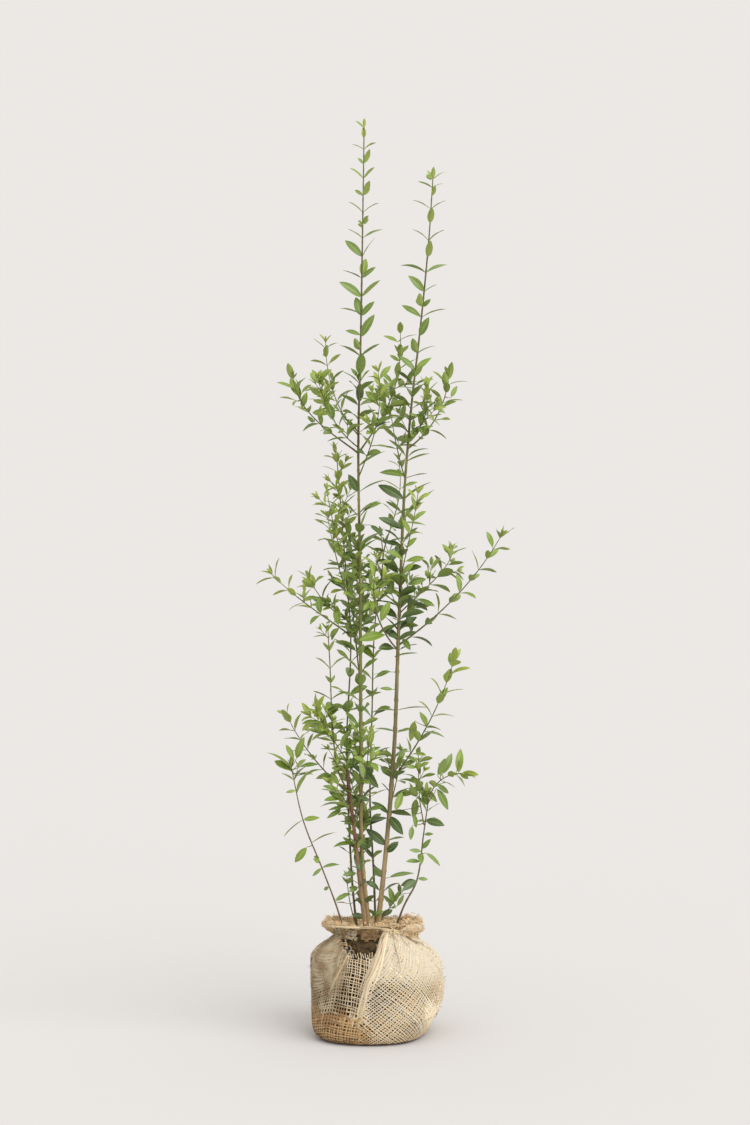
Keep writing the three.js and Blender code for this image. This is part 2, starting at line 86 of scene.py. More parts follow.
# radius at the foot and at the tip, root flare, stations of height, x and y
STEMS = {
    "left_leader": (4.6, 1.0, 0.4, [(182, -13.2, -2), (334, -28.3, -8), (551, -30.1, -12), (871, -32, -12), (1097, -35.3, -6), (1286, -31.1, -4), (1503, -27.4, 0), (1709, -24.2, 2)]),
    "right_leader": (5.2, 1.0, 0.4, [(182, 0, 8), (285, 11.3, 8), (383, 20.8, 8), (549, 33.1, 8), (776, 41.6, 8), (1022, 52, 6), (1183, 65.2, 4), (1314, 80.2, 0), (1474, 96.1, -4), (1611, 105.5, -6)]),
    "old_stem": (4.2, 2.9, 0.3, [(182, -18.8, -18), (252, -28.6, -20), (346, -38.5, -21), (417, -46.9, -22), (496, -56.3, -24)]),
    "thin_stem_left": (2.4, 0.9, 0.2, [(182, -36.9, 10), (274, -46.4, 12), (397, -53.1, 14), (549, -57.2, 16), (738, -49.7, 16), (890, -60.6, 12), (1080, -75.7, 8)]),
    "thin_stem_middle": (2.3, 0.9, 0.2, [(182, -1.9, 26), (301, -6.7, 26), (434, -13.3, 26), (595, -9.5, 24), (757, -4.7, 22), (890, 11.3, 18), (935, 7.7, 18)]),
    "low_left_shoot": (1.9, 0.9, 0.2, [(182, -59, -14), (240, -76.1, -19), (312, -103.2, -22), (403, -138.7, -26), (502, -160.4, -32)]),
    "low_right_shoot": (2.1, 1.1, 0.2, [(182, 29, -9), (240, 50.7, -16), (290, 75, -22), (375, 87.1, -26), (435, 95.4, -30)]),
    "thin_stem_outer": (1.7, 0.9, 0.0, [(449, -50.7, -23), (496, -73.1, -28), (581, -83.3, -31), (693, -88, -32), (758, -91.7, -34)]),
    "low_right_fork": (1.2, 0.8, 0.0, [(393, 88, -27), (443, 79.8, -18), (522, 77.6, -6)]),
}  # fmt: skip

# the stem, the height where the shoot leaves it, its length, the azimuth and elevation in which it starts and ends
SHOOTS = {
    "upper_left_outer": ("left_leader", 1091, 234, (-227, -88), (30, 55), True),
    "upper_left_middle": ("left_leader", 1102, 184, (-136, -126), (25, 71), False),
    "upper_left_inner": ("left_leader", 1125, 209, (138, 134), (39, 90), False),
    "upper_centre": ("left_leader", 1091, 267, (-19, 102), (52, 79), True),
    "upper_centre_front": ("left_leader", 1045, 239, (-28, -106), (64, 56), False),
    "upper_right_outer": ("right_leader", 1100, 201, (31, 5), (31, 91), True),
    "upper_right_inner": ("right_leader", 1121, 136, (-35, -105), (24, 78), False),
    "upper_back": ("right_leader", 1042, 221, (111, 96), (52, 57), False),
    "middle_shoot": ("thin_stem_middle", 890, 223, (90, -26), (42, 101), False),
    "left_column_front": ("thin_stem_left", 843, 203, (-101, -146), (53, 80), False),
    "left_column_back": ("thin_stem_left", 814, 168, (128, 123), (61, 71), False),
    "left_middle_side": ("thin_stem_left", 772, 128, (196, 178), (28, 66), False),
    "left_middle": ("thin_stem_left", 746, 230, (-118, -194), (23, 45), True),
    "right_long": ("right_leader", 728, 305, (0, -37), (35, 56), True),
    "right_middle": ("right_leader", 788, 185, (-21, 86), (45, 36), False),
    "right_thin": ("right_leader", 829, 200, (-89, -37), (47, 81), False),
    "front_shoot": ("right_leader", 719, 249, (-128, -74), (35, 49), True),
    "back_shoot": ("left_leader", 644, 300, (109, 85), (75, 27), True),
    "right_rising": ("right_leader", 474, 282, (-47, -15), (44, 74), True),
    "lower_left_outer": ("old_stem", 451, 208, (158, 152), (34, 60), True),
    "lower_left_inner": ("left_leader", 465, 215, (-191, -102), (63, 44), False),
    "low_front": ("old_stem", 399, 201, (-55, -95), (65, 42), False),
    "low_back": ("right_leader", 412, 185, (60, 91), (68, 18), False),
    "low_back_left": ("left_leader", 342, 190, (84, 140), (40, 74), False),
    "low_right_tip": ("low_right_shoot", 435, 110, (-18, -7), (83, -10), False),
    "foot_left": ("thin_stem_left", 196, 112, (178, 165), (70, 88), False),
    "foot_right": ("right_leader", 200, 96, (-10, 10), (58, 48), False),
}  # fmt: skip

# How each stretch of a stem is leafed: from and to (height), spacing of the leaf pairs, length of
# the leaves, tone (0 young to 3 darkest), the turn of the first pair, the share of nodes with a
# side twig and the length of those twigs. Pairs of values run from the low end to the high one.
STEM_LEAVES = {
    "left_leader": [
        (212, 300, (38, 34), (26, 30), (2.6, 2.8), 20, 0.0, (0, 0)),
        (384, 520, (28, 30), (42, 38), (2.6, 2.0), 40, 0.2, (44, 56)),
        (520, 745, (30, 31), (36, 40), (1.7, 1.6), 0, 0.1, (36, 46)),
        (765, 905, (24, 26), (40, 40), (2.4, 2.2), 30, 0.5, (56, 70)),
        (905, 1000, (31, 34), (44, 46), (2.0, 1.7), 0, 0.12, (40, 50)),
        (1130, 1225, (28, 28), (44, 46), (2.2, 2.0), 30, 0.15, (36, 40)),
    ],
    "right_leader": [
        (212, 282, (38, 36), (26, 34), (2.8, 3), 70, 0.0, (0, 0)),
        (440, 560, (32, 34), (40, 40), (2.4, 1.8), 20, 0.12, (40, 50)),
        (720, 870, (24, 24), (46, 48), (2.8, 2.4), 45, 0.35, (50, 66)),
        (870, 990, (33, 34), (44, 46), (2.2, 1.8), 0, 0.1, (40, 56)),
        (1085, 1235, (28, 27), (44, 46), (2.2, 2.0), 20, 0.15, (36, 40)),
    ],
    "old_stem": [
        (242, 350, (44, 38), (30, 36), (2.6, 2.2), 60, 0.1, (36, 46)),
        (356, 496, (26, 22), (38, 38), (1.8, 1.2), 30, 0.45, (56, 80)),
    ],
    "thin_stem_left": [
        (255, 400, (40, 40), (26, 30), (2.4, 2.0), 20, 0.1, (30, 40)),
        (430, 700, (38, 38), (38, 36), (1.6, 1.5), 0, 0.03, (30, 40)),
        (715, 830, (26, 26), (38, 38), (2.0, 1.8), 30, 0.3, (50, 66)),
        (838, 1080, (26, 19), (42, 32), (1.4, 0.3), 0, 0.2, (44, 30)),
    ],
    "thin_stem_middle": [
        (240, 420, (46, 42), (24, 30), (2.6, 2.2), 50, 0.0, (0, 0)),
        (440, 730, (44, 40), (34, 38), (1.8, 1.5), 0, 0.05, (30, 40)),
        (742, 935, (27, 22), (40, 34), (1.4, 0.8), 0, 0.35, (56, 46)),
    ],
    "low_left_shoot": [
        (478, 500, (12, 11), (34, 36), (1.5, 1.0), 30, 0.5, (30, 34)),
    ],
    "low_right_shoot": [
        (398, 428, (22, 20), (30, 36), (2.4, 1.8), 60, 0.12, (24, 28)),
    ],
    "thin_stem_outer": [
        (560, 758, (34, 27), (40, 27), (1.4, 0.9), 0, 0.06, (26, 24)),
    ],
    "low_right_fork": [
        (440, 522, (18, 14), (34, 26), (1.4, 0.8), 0, 0.3, (24, 20)),
    ],
}  # fmt: skip

# The same along each shoot: from and to as shares of its length.
SHOOT_LEAVES = {
    "upper_left_outer": (0.3, 0.93, (20, 15), (42, 36), (1.6, 1.0), 0, 0.2, (40, 30)),
    "upper_left_middle": (0.2, 1.0, (20, 14), (42, 32), (1.7, 0.7), 45, 0.22, (38, 26)),
    "upper_left_inner": (0.2, 1.0, (23, 15), (42, 28), (1.7, 0.6), 0, 0.12, (34, 24)),
    "upper_centre": (0.22, 0.8, (23, 18), (42, 36), (1.7, 1.2), 0, 0.15, (36, 28)),
    "upper_centre_front": (0.2, 1.0, (24, 15), (42, 32), (1.7, 0.6), 45, 0.16, (36, 26)),
    "upper_right_outer": (0.2, 0.93, (20, 15), (42, 34), (1.6, 0.9), 0, 0.2, (38, 26)),
    "upper_right_inner": (0.15, 1.0, (20, 13), (38, 28), (1.7, 0.7), 0, 0.25, (34, 24)),
    "upper_back": (0.2, 1.0, (25, 15), (42, 30), (1.9, 0.8), 45, 0.14, (36, 24)),
    "middle_shoot": (0.2, 1.0, (28, 17), (38, 27), (1.3, 0.3), 0, 0.08, (34, 24)),
    "left_column_front": (0.18, 1.0, (23, 15), (40, 29), (1.3, 0.2), 0, 0.18, (38, 26)),
    "left_column_back": (0.18, 1.0, (23, 15), (40, 30), (1.6, 0.5), 45, 0.18, (38, 26)),
    "left_middle_side": (0.4, 1.0, (15, 11), (42, 36), (1.7, 0.9), 0, 0.3, (28, 24)),
    "left_middle": (0.2, 1.0, (26, 18), (40, 32), (1.7, 0.6), 90, 0.06, (36, 28)),
    "right_long": (0.1, 1.0, (29, 20), (50, 34), (2.2, 0.7), 90, 0.04, (30, 24)),
    "right_middle": (0.12, 1.0, (19, 18), (46, 32), (2.2, 0.8), 0, 0.2, (44, 26)),
    "right_thin": (0.2, 1.0, (28, 18), (38, 28), (1.6, 0.4), 45, 0.08, (34, 24)),
    "front_shoot": (0.2, 1.0, (26, 18), (41, 29), (1.9, 0.5), 0, 0.2, (42, 28)),
    "back_shoot": (0.25, 1.0, (26, 18), (42, 32), (2.2, 1.0), 0, 0.18, (42, 28)),
    "right_rising": (0.14, 1.0, (33, 13), (34, 46), (1.9, 0.4), 0, 0.05, (26, 26)),
    "lower_left_outer": (0.22, 1.0, (24, 15), (42, 36), (1.4, 0.3), 0, 0.2, (40, 30)),
    "lower_left_inner": (0.2, 1.0, (24, 15), (42, 36), (1.5, 0.3), 45, 0.2, (40, 30)),
    "low_front": (0.25, 1.0, (28, 20), (42, 34), (1.9, 0.7), 0, 0.12, (38, 28)),
    "low_back": (0.2, 1.0, (28, 20), (44, 35), (2.4, 1.2), 0, 0.12, (38, 28)),
    "low_back_left": (0.2, 1.0, (28, 20), (42, 32), (2.2, 1.0), 45, 0.1, (36, 26)),
    "low_right_tip": (0.3, 1.0, (20, 15), (36, 34), (1.6, 0.6), 0, 0.15, (28, 22)),
    "foot_left": (0.45, 1.0, (24, 16), (22, 20), (2.4, 1.8), 0, 0.0, (0, 0)),
    "foot_right": (0.45, 1.0, (20, 15), (22, 19), (2.4, 1.8), 0, 0.0, (0, 0)),
}  # fmt: skip

# How each stretch of stem and each shoot draws from the rule: its seed, how much wider its pairs stand,
# how many more side twigs it has, how much larger its leaves are and how much longer the shoot is.
PICKS = {
    "left_leader 0": (371, 0.8, 0.4, 1.05, 0.88), "left_leader 1": (49, 0.9, 1, 1.05, 0.96), "left_leader 2": (41, 0.9, 0.4, 1.05, 0.88),
    "left_leader 3": (298, 0.8, 0.7, 0.9, 0.96), "left_leader 4": (307, 1.1, 1, 0.9, 1.04), "left_leader 5": (262, 0.85, 0.5, 1, 1),
    "right_leader 0": (45, 1.25, 1, 1.05, 1.04), "right_leader 1": (35, 1.25, 1.4, 0.95, 0.92), "right_leader 2": (221, 0.8, 0.7, 1, 1),
    "right_leader 3": (52, 0.8, 0.7, 0.95, 0.88), "right_leader 4": (7, 0.85, 1, 0.93, 1.04), "old_stem 0": (299, 0.8, 0.7, 0.9, 1),
    "old_stem 1": (176, 1.35, 1, 1.05, 1), "thin_stem_left 0": (144, 1, 0.7, 0.9, 1.04), "thin_stem_left 1": (222, 0.9, 1.4, 1.05, 0.96),
    "thin_stem_left 2": (0, 1.1, 1, 0.95, 0.92), "thin_stem_left 3": (243, 0.8, 1.4, 0.9, 1.04), "thin_stem_middle 0": (229, 1.7, 1.4, 1.05, 0.88),
    "thin_stem_middle 1": (181, 0.85, 1.4, 1, 1.04), "thin_stem_middle 2": (318, 1.45, 1, 1.05, 1.04), "low_left_shoot 0": (310, 1.45, 0.4, 1.05, 0.88),
    "low_right_shoot 0": (386, 1.1, 1, 0.9, 1.04), "thin_stem_outer 0": (65, 1, 1.4, 1.05, 1), "low_right_fork 0": (27, 1, 1, 1.05, 0.95),
    "upper_left_outer": (170, 1.7, 0.7, 0.95, 0.96), "upper_left_middle": (87, 0.8, 1.4, 0.9, 0.92), "upper_left_inner": (35, 1, 1, 1, 1),
    "upper_centre": (58, 1, 1.4, 1, 1), "upper_centre_front": (109, 1, 1, 1, 0.92), "upper_right_outer": (398, 1.1, 0.7, 0.9, 0.92),
    "upper_right_inner": (50, 0.8, 0.7, 1.05, 0.92), "upper_back": (243, 1.25, 1.4, 1, 1.04), "middle_shoot": (95, 1.1, 0.7, 1, 0.96),
    "left_column_front": (257, 1.1, 0.7, 0.95, 0.96), "left_column_back": (245, 1.45, 0.4, 1.05, 1.04), "left_middle_side": (210, 1.7, 1, 1, 0.92),
    "left_middle": (302, 0.9, 1.4, 0.95, 0.92), "right_long": (222, 1.1, 1.4, 0.95, 0.96), "right_middle": (1, 1, 0.7, 0.95, 1.04),
    "right_thin": (398, 1, 0.7, 1, 1.04), "front_shoot": (66, 1.45, 0.7, 1.05, 1.04), "back_shoot": (351, 1, 1, 1, 1.04),
    "right_rising": (187, 1.1, 0.7, 0.95, 0.96), "lower_left_outer": (129, 1.15, 0.5, 0.93, 0.95), "lower_left_inner": (257, 0.85, 1, 1, 0.9),
    "low_front": (198, 1.7, 1, 0.9, 1.04), "low_back": (271, 1.25, 1, 0.9, 0.88), "low_back_left": (182, 1, 1, 1.05, 1),
    "low_right_tip": (201, 0.9, 0.4, 0.9, 0.96), "foot_left": (258, 1.45, 0.4, 1.05, 0.88), "foot_right": (52, 1.6, 1, 1.05, 0.9),
}  # fmt: skip

# Leaves that stand apart and can be told one by one: by the wood that carries them, the X and Z of
# their foot and tip, their width and tone.
LANDMARKS = {
    "right_leader": [
        (18, 351, -18, 378, 17, 3.0), (18, 339, 40, 353, 13, 3.0), (24, 404, 47, 375, 18, 3.0),
        (25, 412, 62, 408, 10, 2.6), (22, 408, -9, 433, 11, 2.8), (20, 403, -28, 391, 9, 2.6),
        (17, 358, 49, 363, 6, 2.2), (12, 288, -4, 309, 14, 3.0), (22, 289, 68, 293, 11, 2.2),
        (33, 604, 93, 608, 7, 2.0), (34, 566, 69, 568, 7, 2.0), (31, 678, -3, 673, 7, 1.8),
        (33, 707, 73, 713, 6, 1.8), (31, 645, 8, 646, 7, 1.8), (39, 744, 23, 746, 12, 3.0),
        (48, 742, 62, 722, 12, 2.0), (30, 604, -8, 599, 7, 2.0), (31, 564, -2, 568, 7, 2.2),
        (104, 1608, 106, 1627, 8, 0.6), (103, 1609, 96, 1622, 5, 0.8), (104, 1606, 94, 1613, 6, 1.0),
        (105, 1607, 125, 1621, 5, 1.0), (105, 1589, 79, 1599, 5, 1.2), (105, 1589, 122, 1598, 4, 1.2),
        (103, 1576, 109, 1591, 8, 1.2), (102, 1553, 70, 1567, 6, 1.4), (102, 1553, 126, 1563, 5, 1.4),
        (100, 1523, 102, 1547, 13, 1.4), (98, 1491, 68, 1511, 6, 1.5), (98, 1491, 126, 1512, 5, 1.5),
        (93, 1459, 100, 1486, 14, 1.6), (92, 1430, 48, 1441, 8, 1.8), (92, 1430, 133, 1446, 10, 1.8),
        (89, 1395, 62, 1424, 15, 1.9), (89, 1394, 111, 1407, 6, 1.8), (87, 1367, 78, 1386, 14, 1.8),
        (87, 1369, 100, 1379, 8, 1.8), (85, 1346, 49, 1369, 11, 1.7), (85, 1346, 127, 1362, 7, 1.8),
        (82, 1311, 96, 1344, 15, 1.9), (79, 1279, 67, 1303, 14, 2.0), (80, 1278, 109, 1293, 6, 1.8),
        (75, 1249, 42, 1274, 13, 2.0), (75, 1248, 101, 1271, 11, 1.8), (59, 1074, 96, 1089, 5, 1.8),
        (52, 1048, 9, 1057, 13, 2.4), (55, 1044, 92, 1052, 8, 2.0), (47, 1006, 6, 1031, 16, 2.6),
        (52, 1006, 100, 1033, 9, 2.2), (48, 950, 5, 968, 14, 2.6), (49, 964, 105, 1018, 5, 1.6),
        (48, 973, 22, 1002, 6, 2.0), (47, 917, 14, 924, 10, 2.4), (50, 962, 89, 956, 9, 2.0),
        (46, 913, 20, 889, 13, 2.6),
    ],
    "left_leader": [
        (-48, 445, -15, 440, 13, 3.0), (-38, 345, -31, 309, 17, 3.0), (-13, 348, -35, 367, 15, 3.0),
        (-32, 345, -12, 364, 15, 2.8), (-39, 354, -80, 352, 9, 2.2), (-27, 500, -2, 463, 17, 3.0),
        (-32, 484, -8, 496, 15, 3.0), (-31, 469, -44, 491, 13, 2.6), (-30, 395, 13, 403, 11, 2.8),
        (-40, 253, -17, 240, 12, 2.8), (-38, 300, -62, 298, 10, 2.2), (-35, 273, -52, 269, 9, 2.2),
        (-25, 1704, -24, 1720, 6, 0.6), (-27, 1705, -39, 1716, 5, 0.8), (-25, 1686, -25, 1705, 9, 0.8),
        (-24, 1665, -46, 1675, 3, 1.0), (-24, 1665, -3, 1677, 3, 1.0), (-23, 1638, -15, 1661, 10, 1.2),
        (-25, 1638, -35, 1646, 5, 1.2), (-25, 1611, -50, 1626, 7, 1.2), (-25, 1611, -6, 1628, 3, 1.2),
        (-25, 1578, -15, 1600, 12, 1.3), (-26, 1578, -40, 1588, 6, 1.3), (-26, 1544, -52, 1564, 3, 1.4),
        (-26, 1544, 2, 1564, 4, 1.4), (-27, 1524, -16, 1535, 9, 1.5), (-27, 1523, -36, 1526, 9, 1.5),
        (-28, 1497, -53, 1514, 5, 1.6), (-28, 1497, 8, 1511, 10, 1.6), (-28, 1462, -58, 1493, 14, 1.9),
        (-28, 1462, -6, 1493, 9, 1.6), (-29, 1424, -22, 1456, 15, 1.8), (-29, 1422, -4, 1437, 9, 1.6),
        (-30, 1422, -61, 1433, 5, 1.8), (-31, 1385, -69, 1410, 15, 1.9), (-30, 1386, 5, 1412, 6, 1.8),
        (-32, 1348, -40, 1383, 16, 2.0), (-32, 1351, -7, 1374, 11, 1.8), (-33, 1352, -66, 1362, 5, 2.0),
        (-32, 1311, -7, 1349, 15, 1.9), (-32, 1312, -57, 1322, 9, 1.8), (-33, 1285, -40, 1303, 14, 2.0),
        (-32, 1272, 3, 1294, 6, 1.8), (-33, 1273, -66, 1291, 6, 1.8), (-30, 1239, -30, 1273, 19, 1.5),
        (-33, 1221, -67, 1245, 5, 2.0), (-33, 1184, -30, 1222, 15, 2.6), (-34, 1065, 12, 1091, 6, 1.8),
        (-33, 1017, 13, 1039, 5, 1.8), (-35, 1018, -53, 1048, 16, 2.8), (-30, 976, 3, 1000, 9, 2.0),
        (-32, 936, -18, 982, 10, 2.2), (-28, 915, 5, 940, 8, 2.2), (-13, 956, 9, 936, 9, 2.6),
    ],
    "low_right_fork": [
        (34, 419, 47, 450, 14, 1.2), (74, 442, 68, 404, 14, 1.4), (69, 414, 75, 391, 8, 1.8),
        (66, 392, 62, 369, 10, 1.8), (86, 464, 54, 444, 11, 1.6), (85, 466, 46, 474, 10, 1.4),
        (87, 461, 91, 431, 12, 1.6), (88, 462, 110, 437, 11, 1.4), (86, 465, 66, 479, 10, 1.2),
    ],
    "low_right_shoot": [
        (112, 462, 131, 423, 14, 2.0), (94, 404, 123, 393, 15, 2.8), (72, 288, 47, 276, 14, 2.8),
        (86, 343, 63, 346, 8, 2.0), (87, 338, 80, 323, 11, 2.4), (91, 341, 116, 318, 9, 2.0),
        (87, 347, 99, 367, 9, 1.6), (83, 325, 56, 327, 8, 2.0), (75, 294, 93, 290, 7, 1.8),
        (90, 375, 103, 377, 6, 1.4),
    ],
    "low_right_tip": [
        (113, 487, 127, 517, 12, 1.8), (122, 489, 141, 524, 13, 1.6), (153, 497, 154, 533, 14, 1.0),
        (158, 495, 187, 492, 10, 0.8), (151, 494, 169, 483, 9, 1.0), (109, 474, 132, 454, 10, 1.8),
    ],
    "low_left_shoot": [
        (-135, 405, -110, 407, 10, 1.6), (-140, 404, -171, 372, 8, 1.8), (-117, 360, -81, 378, 7, 2.0),
        (-131, 352, -152, 323, 14, 1.2), (-108, 323, -119, 330, 10, 1.4), (-105, 310, -119, 299, 7, 2.0),
        (-100, 313, -73, 317, 7, 2.0), (-85, 280, -98, 271, 7, 2.0), (-75, 249, -53, 261, 7, 2.0),
        (-159, 500, -204, 525, 9, 1.0), (-155, 517, -169, 541, 10, 1.2), (-151, 518, -134, 557, 13, 1.2),
        (-155, 457, -168, 455, 6, 1.6), (-146, 502, -113, 505, 8, 1.6), (-129, 494, -149, 452, 8, 1.6),
    ],
    "old_stem": [
        (-70, 457, -99, 466, 9, 1.0), (-67, 444, -97, 441, 10, 1.0), (-65, 432, -105, 423, 8, 1.2),
        (-66, 421, -91, 406, 9, 1.4), (-72, 467, -83, 492, 10, 1.0), (-62, 436, -78, 417, 9, 1.2),
    ],
    "right_rising": [
        (70, 590, 64, 552, 14, 1.4), (66, 575, 40, 567, 7, 1.6), (89, 571, 122, 560, 6, 1.4),
    ],
    "foot_right": [
        (28, 242, 22, 272, 9, 2.0), (30, 243, 43, 263, 8, 2.0), (38, 235, 49, 253, 8, 2.2),
        (25, 240, 14, 253, 7, 2.2),
    ],
    "upper_left_outer": [
        (-161, 1229, -165, 1253, 13, 0.8), (-153, 1198, -162, 1230, 14, 1.0), (-152, 1190, -181, 1196, 3, 1.2),
        (-142, 1176, -134, 1204, 12, 1.2), (-119, 1151, -131, 1159, 8, 1.6), (-106, 1147, -108, 1168, 9, 1.8),
    ],
    "upper_right_outer": [
        (139, 1234, 141, 1264, 13, 1.0), (131, 1217, 128, 1245, 13, 1.2), (141, 1199, 150, 1220, 9, 1.0),
        (121, 1180, 149, 1189, 8, 1.4),
    ],
    "upper_centre": [
        (43, 1319, 44, 1339, 12, 0.8), (40, 1305, 14, 1316, 8, 1.2), (45, 1310, 73, 1317, 5, 1.4),
        (43, 1278, 44, 1296, 12, 1.2), (41, 1269, 26, 1277, 6, 1.4), (39, 1238, 39, 1260, 12, 1.4),
    ],
}  # fmt: skip


# ---------------------------------------------------------------- small helpers
def unit(v):
    return v / np.maximum(np.linalg.norm(v, axis=-1, keepdims=True), 1e-12)


def smoothstep(x, a, b):
    t = np.clip((np.asarray(x, float) - a) / (b - a), 0, 1)
    return t * t * (3 - 2 * t)


def mix(pair, t):
    return pair[0] + (pair[1] - pair[0]) * t


def waves(seed, count=6, low=1.0, high=4.0):
    """A smooth seeded noise of three coordinates, as a sum of plane waves; its values lie mostly within -1 to 1."""
    r = np.random.default_rng(seed)
    ways = unit(r.normal(size=(count, 3))) * r.uniform(low, high, (count, 1))
    shift = r.uniform(0, TAU, count)

    def value(p):
        return np.sin(np.asarray(p) @ ways.T + shift).sum(axis=-1) / math.sqrt(count)

    return value


class Builder:
    """Gathers vertices and faces with a material slot each, and makes one mesh of them."""

    def __init__(self):
        self.verts, self.faces, self.slots, self.count = [], [], [], 0

    def add(self, verts, faces, slots):
        faces = np.asarray(faces)
        self.verts.append(np.asarray(verts, float))
        self.faces.append(faces + self.count)
        self.slots.append(np.broadcast_to(np.asarray(slots), (len(faces),)))
        self.count += len(verts)

    def make(self, name, materials, smooth=True, sharp_angle=None):
        verts = np.concatenate(self.verts) * MM
        sizes = np.concatenate([np.full(len(f), f.shape[1]) for f in self.faces])
        loops = np.concatenate([f.ravel() for f in self.faces])
        starts = np.concatenate([[0], np.cumsum(sizes)[:-1]])
        mesh = bpy.data.meshes.new(name)
        mesh.vertices.add(len(verts))
        mesh.vertices.foreach_set("co", verts.astype(np.float32).ravel())
        mesh.loops.add(len(loops))
        mesh.loops.foreach_set("vertex_index", loops.astype(np.int32))
        mesh.polygons.add(len(sizes))
        mesh.polygons.foreach_set("loop_start", starts.astype(np.int32))
        mesh.update(calc_edges=True)
        mesh.polygons.foreach_set("material_index", np.concatenate(self.slots).astype(np.int32))
        mesh.polygons.foreach_set("use_smooth", np.full(len(sizes), smooth))
        for m in materials:
            mesh.materials.append(m)
        mesh.validate()
        if smooth and sharp_angle:
            mesh.set_sharp_from_angle(angle=sharp_angle)
        mesh.update()
        obj = bpy.data.objects.new(name, mesh)
        bpy.context.scene.collection.objects.link(obj)
        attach(obj, "root")
        return obj


def grid_faces(rows, around, closed=True):
    """Quads between rows of a tube whose rings have that many points."""
    i, j = np.meshgrid(np.arange(rows - 1), np.arange(around if closed else around - 1), indexing="ij")
    k = (j + 1) % around
    return np.stack([i * around + j, i * around + k, (i + 1) * around + k, (i + 1) * around + j], -1).reshape(-1, 4)


# ---------------------------------------------------------------- lines that the wood follows
def on_stem(name, z):
    s = STEMS[name][3]
    last = len(s) - 1
    i = 0
    while i < last - 1 and z > s[i + 1][0]:
        i += 1

    def slope(j, c):
        a, b = s[max(0, j - 1)], s[min(last, j + 1)]
        return (b[c] - a[c]) / (b[0] - a[0])

    h = s[i + 1][0] - s[i][0]
    t = (z - s[i][0]) / h
    out = [
        (2 * t**3 - 3 * t**2 + 1) * s[i][c]
        + (t**3 - 2 * t**2 + t) * h * slope(i, c)
        + (-2 * t**3 + 3 * t**2) * s[i + 1][c]
        + (t**3 - t**2) * h * slope(i + 1, c)
        for c in (1, 2)
    ]
    return np.array([out[0], out[1], z])


def arc(start, length, azimuth, elevation, steps=24):
    points = [np.array(start, float)]
    for i in range(steps):
        t = (i + 0.5) / steps
        a, e = math.radians(mix(azimuth, t)), math.radians(mix(elevation, t))
        way = np.array([math.cos(e) * math.cos(a), math.cos(e) * math.sin(a), math.sin(e)])
        points.append(points[-1] + way * length / steps)
    return np.array(points)


class Line:
    """A line with its length, points and directions by distance along it."""

    def __init__(self, points):
        self.p = np.asarray(points, float)
        self.d = np.concatenate([[0], np.cumsum(np.linalg.norm(np.diff(self.p, axis=0), axis=1))])
        self.length = self.d[-1]

    def at(self, d):
        return np.array([np.interp(d, self.d, self.p[:, c]) for c in range(3)]).T

    def way(self, d):
        e = self.length * 0.004 + 0.2
        return unit(self.at(np.minimum(np.asarray(d) + e, self.length)) - self.at(np.maximum(np.asarray(d) - e, 0)))


lines, girth = {}, {}
for name, (foot, tip, flare, stations) in STEMS.items():
    low, high = stations[0][0], stations[-1][0]
    lines[name] = Line([on_stem(name, z) for z in np.linspace(low, high, 2 + int((high - low) / 4))])
    girth[name] = (foot, tip, flare)
for name, (on, z, length, azimuth, elevation, limb) in SHOOTS.items():
    lines[name] = Line(arc(on_stem(on, z), length * PICKS[name][4], azimuth, elevation))
    girth[name] = (1.8 if limb else 1.35, 0.6, 0.25)


def radius_on(name, d):
    foot, tip, _ = girth[name]
    return foot + (tip - foot) * np.clip(d / lines[name].length, 0, 1) ** 0.8


# ---------------------------------------------------------------- leaves and twigs, by a seeded rule
class Leaves:
    """Every leaf as numbers first; the blades are made of them in one go."""

    def __init__(self):
        self.rows = []

    def add(self, base, way, up, length, width, bend, twist, sweep, fold, petiole, tone):
        self.rows.append((*base, *way, *up, length, width, bend, twist, sweep, fold, petiole, tone))


leaves = Leaves()
twigs = []  # line, radius at its foot, radius at its tip


def side_frame(t):
    """Two directions square to t: for a line that stands upright the first lies along X, for one that leans it is level."""
    if abs(t[2]) > 0.86:
        n = unit(np.array([1.0, 0, 0]) - t[0] * t)
    else:
        n = unit(np.cross(t, [0, 0, 1.0]))
    return n, np.cross(t, n)


def leaf_at(r, base, t, radial, length, tone, angle, droop=1.0, petiole=None):
    way = unit(math.cos(angle) * t + math.sin(angle) * radial)
    rise = 0.25 + 0.5 * (1 - abs(t[2]))  # on a leaning shoot the blades turn their faces up
    up = t * (1 - rise) + np.array([0, 0, 1.0]) * rise
    up = unit(up - way * float(up @ way))
    leaves.add(
        base,
        way,
        up,
        length,
        length * r.uniform(0.33, 0.42) * (0.92 if tone < 1 else 1.04),
        math.radians(r.uniform(6, 34) + max(0, length - 34) * 1.1) * droop,
        math.radians(r.gauss(0, 36)),
        math.radians(r.gauss(0, 9)),
        math.radians(r.uniform(10, 30)),
        petiole if petiole is not None else r.uniform(1.8, 3.4),
        tone,
    )


